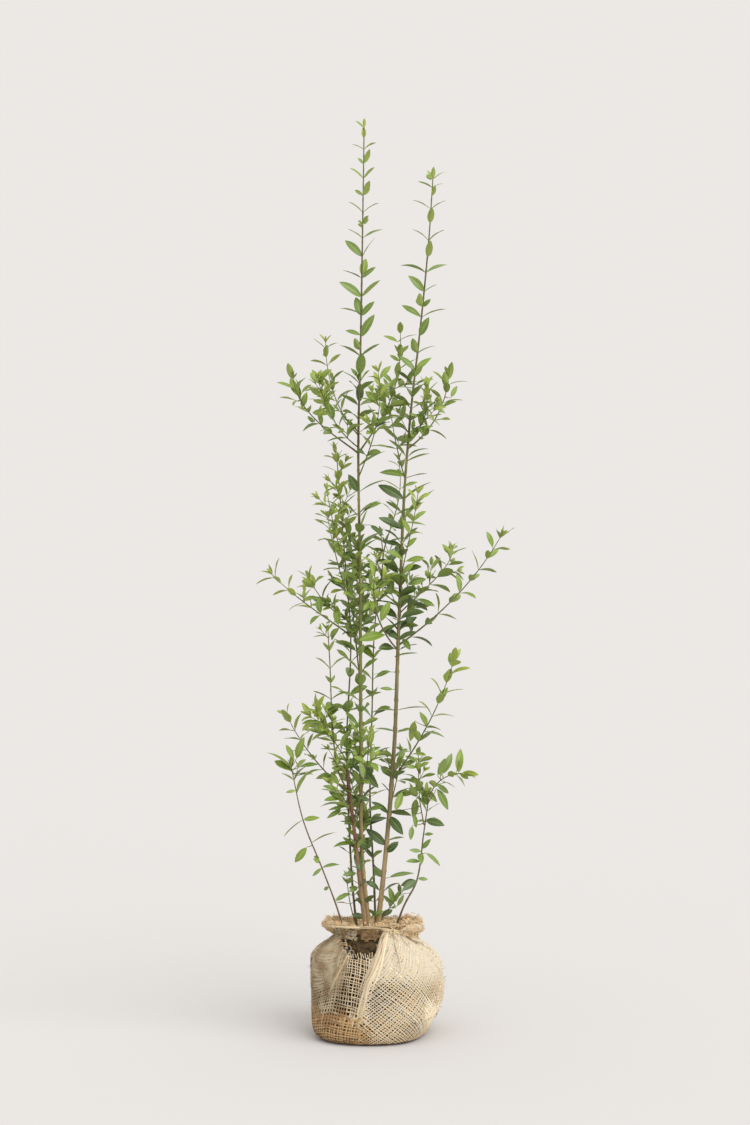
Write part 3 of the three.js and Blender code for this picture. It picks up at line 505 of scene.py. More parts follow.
def leafed(r, line, start, end, gap, leaf, tone, turn, radius, share=0.0, twig=(0, 0), depth=0, ends=True):
    """Opposite pairs along a line from start to end, each pair a quarter turn on from the last, with side twigs in some of their axils."""
    d, k = start, 0
    span = max(end - start, 1e-6)
    while d <= end - (3 if ends else 0):
        t = (d - start) / span
        way = line.way(d)
        n, b = side_frame(way)
        phi = math.radians(turn + 90 * k + r.gauss(0, 14))
        size = mix(leaf, t) * r.uniform(0.86, 1.12)
        spread = math.radians(mix((54, 44) if depth == 0 else (50, 36), t) + r.gauss(0, 6))
        for side in (1, -1):
            radial = unit(side * (math.cos(phi) * n + math.sin(phi) * b))
            if r.random() < 0.035:
                continue
            shade = mix(tone, t) + r.gauss(0, 0.42)
            at = line.at(d) + radial * radius(d) * 0.7
            leaf_at(r, at, way, radial, size * r.uniform(0.9, 1.06), shade, spread * r.uniform(0.9, 1.12))
            if twig[0] and r.random() < share:
                reach = mix(twig, t) * r.uniform(0.65, 1.15)
                side_twig(r, at, way, radial, reach, mix(leaf, t) * 0.84, mix(tone, t) - 0.35, depth + 1)
        d += mix(gap, t) * r.uniform(0.88, 1.12)
        k += 1
    if ends:
        tip(r, line.at(line.length if end > line.length - 3 else end), line.way(end), mix(leaf, 1), mix(tone, 1))


def tip(r, at, way, leaf, tone):
    """The closed young pair and the bud at the end of a shoot."""
    n, b = side_frame(way)
    phi = r.uniform(0, TAU)
    for size, angle, extra in ((0.7, 30, 0), (0.42, 16, 1)):
        for side in (1, -1):
            radial = side * (math.cos(phi + extra * math.pi / 2) * n + math.sin(phi + extra * math.pi / 2) * b)
            leaf_at(r, at - way * (1.5 - extra), way, unit(radial), leaf * size * r.uniform(0.9, 1.1), tone - 0.2, math.radians(angle), 0.5, 0.8)


def side_twig(r, base, way, radial, reach, leaf, tone, depth):
    angle = math.radians(r.uniform(32, 52))
    start = unit(math.cos(angle) * way + math.sin(angle) * radial)
    upward = np.array([0, 0, 1.0])
    side = unit(np.cross(start, upward) + 1e-6) * r.gauss(0, 0.12)
    points = [np.array(base)]
    steps = 7
    for i in range(steps):
        w = unit(start + side * i / steps + upward * 0.42 * i / steps)
        points.append(points[-1] + w * reach / steps)
    line = Line(points)
    twigs.append((line, 0.95 if reach > 45 else 0.75, 0.45))
    gap = max(11.0, leaf * 0.56)
    leafed(r, line, min(9.0, reach * 0.3), reach, (gap, gap * 0.75), (leaf, leaf * 0.8), (tone, tone - 0.5), r.uniform(0, 90), lambda d: 0.6, depth=depth)


for name, stretches in STEM_LEAVES.items():
    line = lines[name]
    for i, (low, high, gap, leaf, tone, turn, share, twig) in enumerate(stretches):
        seed, spacing, sharing, size, _ = PICKS[f"{name} {i}"]
        r = random.Random(f"{name} {i} {seed}" if seed else f"{name} {i}")
        gap, leaf, share = tuple(g * spacing for g in gap), tuple(g * size for g in leaf), share * sharing
        z0 = line.p[0, 2]
        rise = line.p[:, 2]
        a, b = float(np.interp(low, rise, line.d)), float(np.interp(high, rise, line.d))
        leafed(r, line, a, b, gap, leaf, tone, turn, lambda d, n=name: float(radius_on(n, d)), share, twig, ends=i == len(stretches) - 1 and name != "low_right_shoot")
for name, (low, high, gap, leaf, tone, turn, share, twig) in SHOOT_LEAVES.items():
    seed, spacing, sharing, size, _ = PICKS[name]
    r = random.Random(f"{name} {seed}" if seed else name)
    gap, leaf, share = tuple(g * spacing for g in gap), tuple(g * size for g in leaf), share * sharing
    line = lines[name]
    leafed(r, line, low * line.length, high * line.length, gap, leaf, tone, turn, lambda d, n=name: float(radius_on(n, d)), share, twig)

r = random.Random("apart")


def apart(name, x0, z0, x1, z1, width, tone):
    """One leaf by its foot and tip as seen from the front. One that looks short for its width points to the front."""
    line = lines[name]
    near = line.p[np.argmin((line.p[:, 0] - x0) ** 2 + (line.p[:, 2] - z0) ** 2)]
    flat = math.hypot(x1 - x0, z1 - z0)
    real = max(flat, width / 0.42)
    if real > flat * 1.15:
        away = -math.sqrt(real**2 - flat**2)
    else:
        away = r.choice((-1, 1)) * r.uniform(0.1, 0.45) * flat
    base = np.array([x0, near[1], z0], float)
    if math.hypot(near[0] - x0, near[2] - z0) > 6:  # it sits on a short twig of its own
        twigs.append((Line([near, (near + base) / 2 + [0, 0, -1.5], base]), 0.8, 0.5))
    else:
        base = near
    span = np.array([x1, base[1] + away, z1]) - base
    length = float(np.linalg.norm(span))
    way = unit(span)
    bend = math.radians(r.uniform(12, 30))
    broad = min(1.0, width / (flat * 0.36)) ** 2  # a leaf seen edge on shows little of its width
    up = np.array([0, -1.0, 0.25]) * broad + np.array([0, 0.25, 1.0]) * (1.02 - broad)
    up = unit(up - way * float(up @ way))
    if up[2] < -0.2:
        up = -up
    way = math.cos(bend / 2) * way + math.sin(bend / 2) * up  # the blade bends back to its tip
    up = unit(up - way * float(up @ way))
    numbers = (length * 1.04, max(width, length * 0.34) if real <= flat * 1.15 else real * 0.4, bend)
    leaves.add(base, way, up, *numbers, math.radians(r.gauss(0, 9)), math.radians(r.gauss(0, 5)), math.radians(r.uniform(10, 24)), 2.0, tone + r.gauss(0, 0.2))
    if real > flat * 1.15:  # its pair points to the back
        back = np.array([1.0, -1.0, 1.0])
        leaves.add(base, way * back, up * back, *numbers, math.radians(r.gauss(0, 25)), 0.0, math.radians(15), 2.0, tone + r.gauss(0, 0.2))


for name, placed in LANDMARKS.items():
    for numbers in placed:
        apart(name, *numbers)

# ---------------------------------------------------------------- blades
ROWS = np.array([-1.0, 0.0, 0.09, 0.23, 0.4, 0.58, 0.76, 0.91, 1.0])
TOP = np.array([-1.0, -0.52, -0.075, 0.075, 0.52, 1.0])
UNDER = np.array([0.52, 0.1, -0.1, -0.52])


def blades(rows):
    """Vertices of closed thin blades: rings of ten points, from the petiole's foot to the tip."""
    a = np.array(rows)
    n = len(a)
    base, way, up = a[:, 0:3], unit(a[:, 3:6]), unit(a[:, 6:9])
    length, width, bend, twist, sweep, fold, petiole = (a[:, i] for i in range(9, 16))
    side = np.cross(way, up)
    out = np.zeros((n, len(ROWS), 10, 3))
    pos = base.copy()
    last = 0.0
    for i, u in enumerate(ROWS):
        if u < 0:
            here_way, here_up, here_side = way, up, side
        else:
            step = (petiole if i == 1 else length * (u - last))[:, None]
            um = 0 if i == 1 else (u + last) / 2
            th, sw = (bend * um**1.15)[:, None], (sweep * um)[:, None]
            mid_way = np.cos(th) * way - np.sin(th) * up
            mid_way = np.cos(sw) * mid_way + np.sin(sw) * side
            pos = pos + unit(mid_way) * step
            th, sw = (bend * u**1.15)[:, None], (sweep * u)[:, None]
            here_way = np.cos(th) * way - np.sin(th) * up
            here_up = np.cos(th) * up + np.sin(th) * way
            here_way, here_side = np.cos(sw) * here_way + np.sin(sw) * side, np.cos(sw) * side - np.sin(sw) * here_way
            tw = (twist * min(1, 0.25 + u))[:, None]
            here_side, here_up = np.cos(tw) * here_side + np.sin(tw) * here_up, np.cos(tw) * here_up - np.sin(tw) * here_side
            last = u
        shape = 0.0 if u <= 0 or u >= 1 else (u**0.78 * (1 - u) ** 0.92) / (0.46**0.78 * 0.54**0.92)
        half = width / 2 * shape
        rib = 0.55 * (1 - 0.75 * max(u, 0))  # mm
        for j, v in enumerate(np.concatenate([TOP, UNDER])):
            s = half * v
            thin = 0.16 * (1 - abs(v) ** 3)
            lift = np.tan(fold) * np.abs(s) * (1 - 0.35 * (np.abs(v))) + 0.35 * np.sin(9 * u + v * 2 + sweep * 40) * abs(v) ** 2 * shape
            below = j >= 6
            flat = s + (rib * 0.5 * v)
            h = lift + (-thin - (rib * 0.8 if abs(v) < 0.2 else 0) if below else thin)
            if u <= 0:  # the petiole is round
                ang = math.pi * (1 - j / 5) if j < 6 else -math.pi * (j - 5) / 5
                flat = np.full(n, 0.62 * math.cos(ang))
                h = np.full(n, 0.55 * math.sin(ang))
            out[:, i, j] = pos + here_side * flat[:, None] + here_up * h[:, None]
    return out


def leaf_faces():
    rows, ring = len(ROWS), 10
    quads = grid_faces(rows, ring)
    row, col = np.divmod(np.arange(len(quads)), ring)
    slot = np.where(col == 2, 1, np.where(col >= 5, 2, 0))
    slot = np.where(row == 0, 1, slot)
    last = (rows - 1) * ring
    caps = np.array([[0, 9, 8, 7], [0, 7, 6, 5], [0, 5, 4, 3], [0, 3, 2, 1]])
    ends = np.concatenate([caps, last + caps[:, ::-1]])
    return np.concatenate([quads, ends]), np.concatenate([slot, np.ones(len(ends), int)])


LEAF_FACES, LEAF_SLOTS = leaf_faces()


def linear(rgb):
    return tuple(((c / 255 + 0.055) / 1.055) ** 2.4 if c > 10 else c / 255 / 12.92 for c in rgb)


def surface(name, rgb, roughness, spread=0.1, scale=60.0, bump=0.15, coat=0.0, specular=0.5, second=None, stretch=(1, 1, 1)):
    """A dielectric with a plain base colour, or a blend of two close ones, and a fine relief and an uneven roughness from noise."""
    m = bpy.data.materials.new(name)
    m.use_nodes = True
    nodes, links = m.node_tree.nodes, m.node_tree.links
    p = nodes["Principled BSDF"]
    p.inputs["Base Color"].default_value = (*linear(rgb), 1)
    p.inputs["Specular IOR Level"].default_value = specular
    p.inputs["Coat Weight"].default_value = coat
    if coat:
        p.inputs["Coat Roughness"].default_value = 0.25
    where = nodes.new("ShaderNodeTexCoord")
    mapping = nodes.new("ShaderNodeMapping")
    mapping.inputs["Scale"].default_value = stretch
    links.new(where.outputs["Object"], mapping.inputs["Vector"])
    noise = nodes.new("ShaderNodeTexNoise")
    noise.inputs["Scale"].default_value = scale
    noise.inputs["Detail"].default_value = 3
    links.new(mapping.outputs["Vector"], noise.inputs["Vector"])
    level = nodes.new("ShaderNodeMapRange")
    level.inputs["To Min"].default_value = max(0.05, roughness - spread)
    level.inputs["To Max"].default_value = min(1, roughness + spread)
    links.new(noise.outputs["Fac"], level.inputs["Value"])
    links.new(level.outputs["Result"], p.inputs["Roughness"])
    if bump:
        relief = nodes.new("ShaderNodeBump")
        relief.inputs["Strength"].default_value = bump
        relief.inputs["Distance"].default_value = 0.0006
        links.new(noise.outputs["Fac"], relief.inputs["Height"])
        links.new(relief.outputs["Normal"], p.inputs["Normal"])
    if second:
        blend = nodes.new("ShaderNodeMix")
        blend.data_type = "RGBA"
        blend.inputs["A"].default_value = (*linear(rgb), 1)
        blend.inputs["B"].default_value = (*linear(second), 1)
        patches = nodes.new("ShaderNodeTexNoise")
        patches.inputs["Scale"].default_value = scale * 0.35
        patches.inputs["Detail"].default_value = 4
        links.new(mapping.outputs["Vector"], patches.inputs["Vector"])
        sharper = nodes.new("ShaderNodeMapRange")
        sharper.inputs["From Min"].default_value = 0.38
        sharper.inputs["From Max"].default_value = 0.62
        links.new(patches.outputs["Fac"], sharper.inputs["Value"])
        links.new(sharper.outputs["Result"], blend.inputs["Factor"])
        links.new(blend.outputs["Result"], p.inputs["Base Color"])
    return m


TONES = {
    "young": ((142, 159, 57), (178, 185, 104), (156, 171, 85)),
    "fresh": ((124, 149, 54), (165, 175, 97), (143, 160, 81)),
    "mature": ((106, 132, 54), (152, 164, 90), (127, 146, 75)),
    "dark": ((72, 94, 43), (124, 138, 80), (102, 120, 68)),
}
rows = np.array(leaves.rows)
group = np.clip(np.round(rows[:, -1]), 0, 3).astype(int)
print("leaves", len(rows), "by tone", [int((group == g).sum()) for g in range(4)], "twigs", len(twigs))
leaf_pieces = []
for g, (tone, (top, rib, under)) in enumerate(TONES.items()):
    mine = rows[group == g]
    verts = blades(mine)
    builder = Builder()
    n = len(mine)
    per = verts.shape[1] * verts.shape[2]
    faces = (LEAF_FACES[None] + np.arange(n)[:, None, None] * per).reshape(-1, 4)
    builder.add(verts.reshape(-1, 3), faces, np.tile(LEAF_SLOTS, n))
    piece = builder.make(
        f"leaves_{tone}",
        [
            surface(f"leaf_{tone}", top, 0.36, 0.08, 260, 0.25, specular=0.5),
            surface(f"leaf_{tone}_rib", rib, 0.5, 0.08, 260, 0.1),
            surface(f"leaf_{tone}_under", under, 0.6, 0.08, 260, 0.2, specular=0.35),
        ],
        sharp_angle=math.radians(62),
    )
    leaf_pieces.append(piece)
masses = [n for n in nodes_in if n.endswith("_leaves")]
for piece in leaf_pieces:
    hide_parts(*masses)


# ---------------------------------------------------------------- wood
def tube(points, radii, around, relief=None, close=True):
    """Rings round a line, kept from twisting; relief(distance, angle) is added to the radius."""
    p = np.asarray(points, float)
    way = unit(np.gradient(p, axis=0))
    n = unit(np.cross(way[0], [0.31, 0.95, 0.05]))
    normals = []
    for t in way:
        n = unit(n - t * float(n @ t))
        normals.append(n)
    normals = np.array(normals)
    sides = np.cross(way, normals)
    ang = np.arange(around) * TAU / around
    r = np.asarray(radii, float)[:, None] * np.ones(around)[None]
    if relief is not None:
        d = np.concatenate([[0], np.cumsum(np.linalg.norm(np.diff(p, axis=0), axis=1))])
        r = r + relief(d[:, None], ang[None], r)
    ring = p[:, None] + r[..., None] * (np.cos(ang)[None, :, None] * normals[:, None] + np.sin(ang)[None, :, None] * sides[:, None])
    verts = ring.reshape(-1, 3)
    faces = grid_faces(len(p), around)
    if not close:
        return verts, faces
    verts = np.concatenate([verts, [p[0]], [p[-1]]])
    a, b = len(p) * around, len(p) * around + 1
    j = np.arange(around)
    k = (j + 1) % around
    last = (len(p) - 1) * around
    caps = np.concatenate([np.stack([j * 0 + a, k, j], -1), np.stack([j * 0 + b, last + j, last + k], -1)])
    return verts, (faces, caps)


def add_tube(builder, *args, slot=0, **kw):
    verts, (faces, caps) = tube(*args, **kw)
    start = builder.count
    builder.add(verts, faces, slot)
    builder.faces.append(caps + start)
    builder.slots.append(np.full(len(caps), slot))


def bark_relief(seed, size, nodes, scars=True):
    """Long shallow furrows, small raised pores, and a swelling with two leaf scars at each node."""
    noise = waves(seed, 10, 0.5, 3.2)
    fine = waves(seed + 50, 8, 2.0, 6.0)
    rng = np.random.default_rng(seed)
    pores = [(rng.uniform(0, 1), rng.uniform(0, TAU)) for _ in range(int(size[1] / 7))]

    def relief(d, ang, r):
        c, s = np.cos(ang), np.sin(ang)
        q = np.stack(np.broadcast_arrays(c * 2.2, s * 2.2, d * 0.03), -1)
        f = np.stack(np.broadcast_arrays(c * 2.2, s * 2.2, d * 0.16), -1)
        out = r * (0.045 * noise(q) + 0.035 * fine(f))
        for share, a in pores:
            at = share * size[1]
            near = np.exp(-(((d - at) / 1.6) ** 2)) * np.exp(-((np.angle(np.exp(1j * (ang - a))) / 0.34) ** 2))
            out = out + 0.09 * size[0] * near
        for k, at in enumerate(nodes):
            ring = np.exp(-(((d - at) / 2.2) ** 2))
            scar = np.exp(-(((d - at + 1.5) / 1.8) ** 2)) * np.abs(np.cos(ang - k * math.pi / 2 - 0.4)) ** 8
            out = out + ring * 0.1 * r + scar * 0.18 * r
        return out

    return relief


def bark(name, colours, heights, roughness, scale=220.0, stripe=(1, 1, 0.12)):
    """Bark: a base colour by height, broken up by long streaks and small pores from noise."""
    m = bpy.data.materials.new(name)
    m.use_nodes = True
    nodes, links = m.node_tree.nodes, m.node_tree.links
    p = nodes["Principled BSDF"]
    p.inputs["Specular IOR Level"].default_value = 0.35
    where = nodes.new("ShaderNodeTexCoord")
    split = nodes.new("ShaderNodeSeparateXYZ")
    links.new(where.outputs["Object"], split.inputs["Vector"])
    level = nodes.new("ShaderNodeMapRange")
    level.inputs["From Min"].default_value = heights[0] * MM
    level.inputs["From Max"].default_value = heights[1] * MM
    links.new(split.outputs["Z"], level.inputs["Value"])
    ramp = nodes.new("ShaderNodeValToRGB")
    ramp.color_ramp.elements[0].color = (*linear(colours[0]), 1)
    ramp.color_ramp.elements[1].color = (*linear(colours[-1]), 1)
    for i, c in enumerate(colours[1:-1], 1):
        ramp.color_ramp.elements.new(i / (len(colours) - 1)).color = (*linear(c), 1)
    links.new(level.outputs["Result"], ramp.inputs["Fac"])
    mapping = nodes.new("ShaderNodeMapping")
    mapping.inputs["Scale"].default_value = stripe
    links.new(where.outputs["Object"], mapping.inputs["Vector"])
    noise = nodes.new("ShaderNodeTexNoise")
    noise.inputs["Scale"].default_value = scale
    noise.inputs["Detail"].default_value = 5
    links.new(mapping.outputs["Vector"], noise.inputs["Vector"])
    shade = nodes.new("ShaderNodeMapRange")
    shade.inputs["From Min"].default_value = 0.3
    shade.inputs["From Max"].default_value = 0.7
    shade.inputs["To Min"].default_value = 0.68
    shade.inputs["To Max"].default_value = 1.22
    links.new(noise.outputs["Fac"], shade.inputs["Value"])
    times = nodes.new("ShaderNodeMix")
    times.data_type = "RGBA"
    times.blend_type = "MULTIPLY"
    times.inputs["Factor"].default_value = 1
    links.new(ramp.outputs["Color"], times.inputs["A"])
    links.new(shade.outputs["Result"], times.inputs["B"])
    links.new(times.outputs["Result"], p.inputs["Base Color"])
    rough = nodes.new("ShaderNodeMapRange")
    rough.inputs["To Min"].default_value = roughness - 0.1
    rough.inputs["To Max"].default_value = roughness + 0.12
    links.new(noise.outputs["Fac"], rough.inputs["Value"])
    links.new(rough.outputs["Result"], p.inputs["Roughness"])
    relief = nodes.new("ShaderNodeBump")
    relief.inputs["Strength"].default_value = 0.5
    relief.inputs["Distance"].default_value = 0.0005
    links.new(noise.outputs["Fac"], relief.inputs["Height"])
    links.new(relief.outputs["Normal"], p.inputs["Normal"])
    return m


TAN, OLIVE, REDDISH, BROWN, GREEN = (160, 138, 102), (118, 116, 62), (128, 104, 78), (98, 90, 62), (112, 118, 64)
BARKS = {
    "left_leader": bark("bark_left_leader", [TAN, (140, 124, 84), (122, 118, 68), OLIVE, OLIVE, (110, 98, 66), BROWN, BROWN, GREEN], (190, 1700), 0.62),
    "right_leader": bark("bark_right_leader", [(172, 146, 108), (144, 128, 92), (120, 110, 72), (132, 122, 80), OLIVE, (108, 104, 62), BROWN, GREEN], (190, 1600), 0.62),
    "old_stem": bark("bark_old_stem", [(150, 126, 94), (132, 106, 78), (126, 92, 68), (112, 82, 60)], (190, 500), 0.78),
}
shoot_bark = bark("bark_shoots", [(104, 92, 66), (104, 100, 58), (106, 104, 58), (112, 116, 60)], (190, 1600), 0.55)
for name, (foot, top, flare, stations) in STEMS.items():
    line = lines[name]
    stout = name in BARKS
    step = 3.0 if stout else 4.0
    d = np.linspace(0, line.length, 2 + int(line.length / step))
    p = line.at(d)
    if "thin_stem_outer" != name and "low_right_fork" != name:  # the foot reaches a little into the soil
        p = np.concatenate([[p[0] - [0, 0, 6]], p])
        d = np.concatenate([[0], d + 6])
    r = foot + (top - foot) * np.clip(d / d[-1], 0, 1) ** 0.8
    r = r * (1 + flare * np.exp(-d / (foot * 3.2)))
    nodes_at = np.arange(20, line.length, 27 if stout else 31)
    builder = Builder()
    add_tube(builder, p, r, 18 if stout else 10, relief=bark_relief(len(name) + int(foot * 10), (foot, line.length), nodes_at))
    piece = builder.make(name + "_bark", [BARKS.get(name, shoot_bark)])
    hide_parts(name)

builder = Builder()
for k, name in enumerate(SHOOTS):
    line = lines[name]
    foot, top, _ = girth[name]
    d = np.linspace(0, line.length, 2 + int(line.length / 5))
    r = (foot + (top - foot) * (d / d[-1]) ** 0.8) * (1 + 0.35 * np.exp(-d / 4))
    add_tube(builder, line.at(d), r, 8, relief=bark_relief(100 + k, (foot, line.length), np.arange(14, line.length, 19)))
piece = builder.make("shoots", [shoot_bark])
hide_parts(*[n for n in nodes_in if n.endswith("_bough")])

builder = Builder()
for line, foot, top in twigs:
    d = np.linspace(0, line.length, 2 + int(line.length / 8))
    add_tube(builder, line.at(d), (foot + (top - foot) * d / d[-1]) * (1 + 0.4 * np.exp(-d / 3)), 5)
piece = builder.make("twigs", [shoot_bark])

# ---------------------------------------------------------------- the hessian wrap
def smooth_profile():
    """Radius, height and front lift of the wrap by distance from the middle of its underside."""
    r = [0.0] + [l[0 + 1] for l in WRAP["levels"]]
    z = [0.0] + [l[0] for l in WRAP["levels"]]
    lift = [0.0] + [l[2] for l in WRAP["levels"]]
    s = np.concatenate([[0], np.cumsum(np.hypot(np.diff(r), np.diff(z)))])
    fine = np.arange(0, s[-1], 1.0)
    table = np.stack([np.interp(fine, s, v) for v in (r, z, lift)])
    k = np.exp(-0.5 * (np.arange(-14, 15) / 4.5) ** 2)
    k /= k.sum()
    padded = np.concatenate([2 * table[:, :1] - table[:, 14:0:-1], table, 2 * table[:, -1:] - table[:, -2:-16:-1]], axis=1)
    out = np.stack([np.convolve(row, k, "valid") for row in padded])
    out[0] = np.maximum(out[0], 0)
    out[1] = np.maximum(out[1], 0)
    d = np.concatenate([[0], np.cumsum(np.hypot(np.diff(out[0]), np.diff(out[1])))])
    return d, out


PROFILE_S, PROFILE = smooth_profile()
RIM = float(PROFILE_S[-1])
NECK = float(np.interp(188, PROFILE[1][150:], PROFILE_S[150:]))

# Folds drawn to the knot: azimuth and height of their points from the neck down, width, height. The
# first two are the stout bundle at the front, the next four fan out beside it, then one left of the open mesh.
BUNDLE = [(-64, 191), (-72.8, 177), (-79.7, 166.5), (-84.5, 158), (-90.7, 143.5), (-95.2, 128), (-98.9, 106), (-102.8, 76.5), (-105.5, 46)]
FOLDS = [
    (BUNDLE, 9.0, 5.5),
    ([(a + 7 + 0.05 * (191 - z), z) for a, z in BUNDLE[:6]], 6.0, 3.0),
    ([(-52, 190), (-62, 160), (-70, 128), (-74, 104)], 9.0, 4.0),
    ([(-45, 190), (-46, 160), (-47, 128)], 7.0, 2.5),
    ([(-38, 190), (-33, 165), (-26, 140)], 7.0, 3.0),
    ([(-31, 190), (-17, 176), (-4, 161), (4, 152)], 7.0, 6.5),
    ([(-124, 172), (-127, 142), (-131, 106)], 6.0, 3.0),
]
_r = random.Random(7)
for k in range(18):  # and round the sides and the back
    a = -14 + k * 11.6 + _r.uniform(-3, 3)
    FOLDS.append(([(a, 196), (a + _r.uniform(-4, 4), 166), (a + _r.uniform(-7, 7), _r.uniform(108, 140))], _r.uniform(4.6, 6.6), _r.uniform(4.0, 6.5)))
cloth_noise = waves(31, 9, 0.010, 0.035)
cloth_fine = waves(32, 12, 0.05, 0.13)


def fold_height(theta, z, r):
    """How far folds and dents move the cloth out, by azimuth (radians), height and radius."""
    out = np.zeros_like(theta)
    for points, width, height in FOLDS:
        zs = np.array([p[1] for p in points])[::-1]
        az = np.radians([p[0] for p in points])[::-1]
        at = np.interp(z, zs, az)
        off = np.angle(np.exp(1j * (theta - at))) * r
        fade = smoothstep(z, zs[0] - 6, zs[0] + 22) * (1 - smoothstep(z, 196, 214))
        taper = np.interp(z, [zs[0], 185], [1.25, 0.7])
        w = width * taper
        crest = np.exp(-((off / w) ** 2))
        crease = np.exp(-(((off - 1.7 * w) / (0.8 * w)) ** 2)) + np.exp(-(((off + 1.7 * w) / (0.8 * w)) ** 2))
        out = out + height * fade * (crest - 0.45 * crease)
    return out


def near(theta, at, spread):
    """1 at an azimuth given in degrees, fading to nothing on both sides of it."""
    off = theta - math.radians(at)
    return np.exp(-((np.arctan2(np.sin(off), np.cos(off)) / math.radians(spread)) ** 2))


def wrapped(theta, s, offset=0.0):
    """Points of the wrap by azimuth (radians) and distance from the middle of the underside."""
    theta, s = np.broadcast_arrays(np.asarray(theta, float), np.asarray(s, float))
    r, z, lift = (np.interp(s, PROFILE_S, row) for row in PROFILE)
    c, sn = np.cos(theta), np.sin(theta)
    square = SQUARE * (1 - smoothstep(z, 20, 90))
    n = 2 + square
    r = r * (np.abs(c) ** n + np.abs(sn) ** n) ** (-1 / n)
    gather = smoothstep(z, 100, 180)
    pleat = WRAP["pleat_depth"] * gather * np.cos(WRAP["pleats"] * theta + 0.6)
    uneven = 0.012 * np.sin(2 * theta + 0.9) * smoothstep(z, 0, 60)
    shift = WRAP["neck_shift"] * smoothstep(z, 130, 178)
    over = smoothstep(z, 188, 196) * (1 - smoothstep(z, 200, 216))
    low = smoothstep(z, 0, 8) * (1 - smoothstep(z, 20, 90))
    tilt = WRAP["slant"] * gather * (1 - smoothstep(z, 190, 208))
    sunk = WRAP["dip"] * smoothstep(z, 190, 214) * np.maximum(0, sn) ** 1.5
    raised = lift * np.maximum(0, -sn) ** 1.5 - tilt * c - sunk
    shoulder = smoothstep(z, 145, 170) * (1 - smoothstep(z, 178, 190))
    pushed = smoothstep(z, 95, 142) * (1 - smoothstep(z, 144, 172))
    foot = 1 - smoothstep(z, 10, 60)
    q = np.stack([r * c, r * sn, z * 1.3], -1)
    side = smoothstep(z, 2, 30)
    dents = side * (1.5 * cloth_noise(q) + 0.5 * cloth_fine(q)) * (1 - 0.6 * smoothstep(z, 170, 185))
    out = r * (1 + pleat + uneven) + WRAP["ruff"] * over * np.maximum(0, c) ** 2 + WRAP["sag"] * low * np.maximum(0, -c)
    out = out - WRAP["tuck"] * (1 - smoothstep(z, 10, 75)) * np.maximum(0, c) ** 1.5 - WRAP["droop"] * shoulder * np.maximum(0, -c) ** 2
    out = out - WRAP["dent"] * pushed * near(theta, -4, 36)
    out = out - WRAP["corner"] * foot * (near(theta, -36, 26) - 0.7 * near(theta, -145, 24) - 0.35 * near(theta, -98, 24))
    out = out + fold_height(theta, z, r) + dents + offset
    return np.stack([shift + out * c, out * sn, z + raised], -1)


def cloth_normal(theta, s):
    e, d = 0.01, 1.2
    u = wrapped(theta + e, s) - wrapped(theta - e, s)
    v = wrapped(theta, np.minimum(s + d, RIM)) - wrapped(theta, np.maximum(s - d, 0))
    return unit(np.cross(u, v))


# The cloth lies in two stretches that meet under the bundle of folds and again at the back. Left of
# the bundle its threads lie upright and level and are stretched apart, right of it they cross at a slant.
GIRTH = 122.0
PITCHES = (4.2, 3.9)
RAGGED = waves(41, 8, 0.03, 0.12)
BACK_SEAM = 75.0
BAND_FOOT = float(np.interp(78, PROFILE[1][150:], PROFILE_S[150:]))


def seam(z):
    """Azimuth in degrees at which the two stretches meet in front."""
    return np.interp(z, [q[1] for q in BUNDLE][::-1], [q[0] for q in BUNDLE][::-1])


def laid_left(u, v):
    """Azimuth and distance on the wrap of the left stretch's threads, numbered along and up."""
    lean = math.radians(13)
    c = u * math.cos(lean) + v * math.sin(lean) * 0.9
    t = v - u * 0.10
    z = np.interp(t, PROFILE_S, PROFILE[1])
    middle = np.interp(z, [30, 85, 130, 163], [-123, -116, -110, -108]) * math.pi / 180 * GIRTH
    off = (c - middle) / 34
    c = c + 11 * np.tanh(off) * smoothstep(z, 30, 75) + 0.22 * off * 34 * (1 - smoothstep(z, 30, 90))
    c = c - 0.35 * np.clip(-off * 34 - 14, 0, 70) * np.exp(-(((z - 76) / 44) ** 2))  # wider apart on the flank
    s = t + 20 * smoothstep(t, 150, 240) * np.exp(-(off**2) / 1.6)
    s = s - 0.25 * np.maximum(0, BAND_FOOT - t)  # coarser towards the foot
    s = s - 0.5 * np.clip(-off * 34 - 20, 0, 80) * (1 - smoothstep(z, 80, 165))
    return c / GIRTH, s


def laid_right(u, v):
    """The same for the right stretch, whose threads cross at a slant."""
    c = (u - v) * math.sqrt(0.5) * 0.97
    t = (u + v) * math.sqrt(0.5) * 1.08
    bow = 1 + 0.12 * np.sin(c * 0.02)
    return c / GIRTH * bow, t + 3.0 * np.sin(c * 0.045)


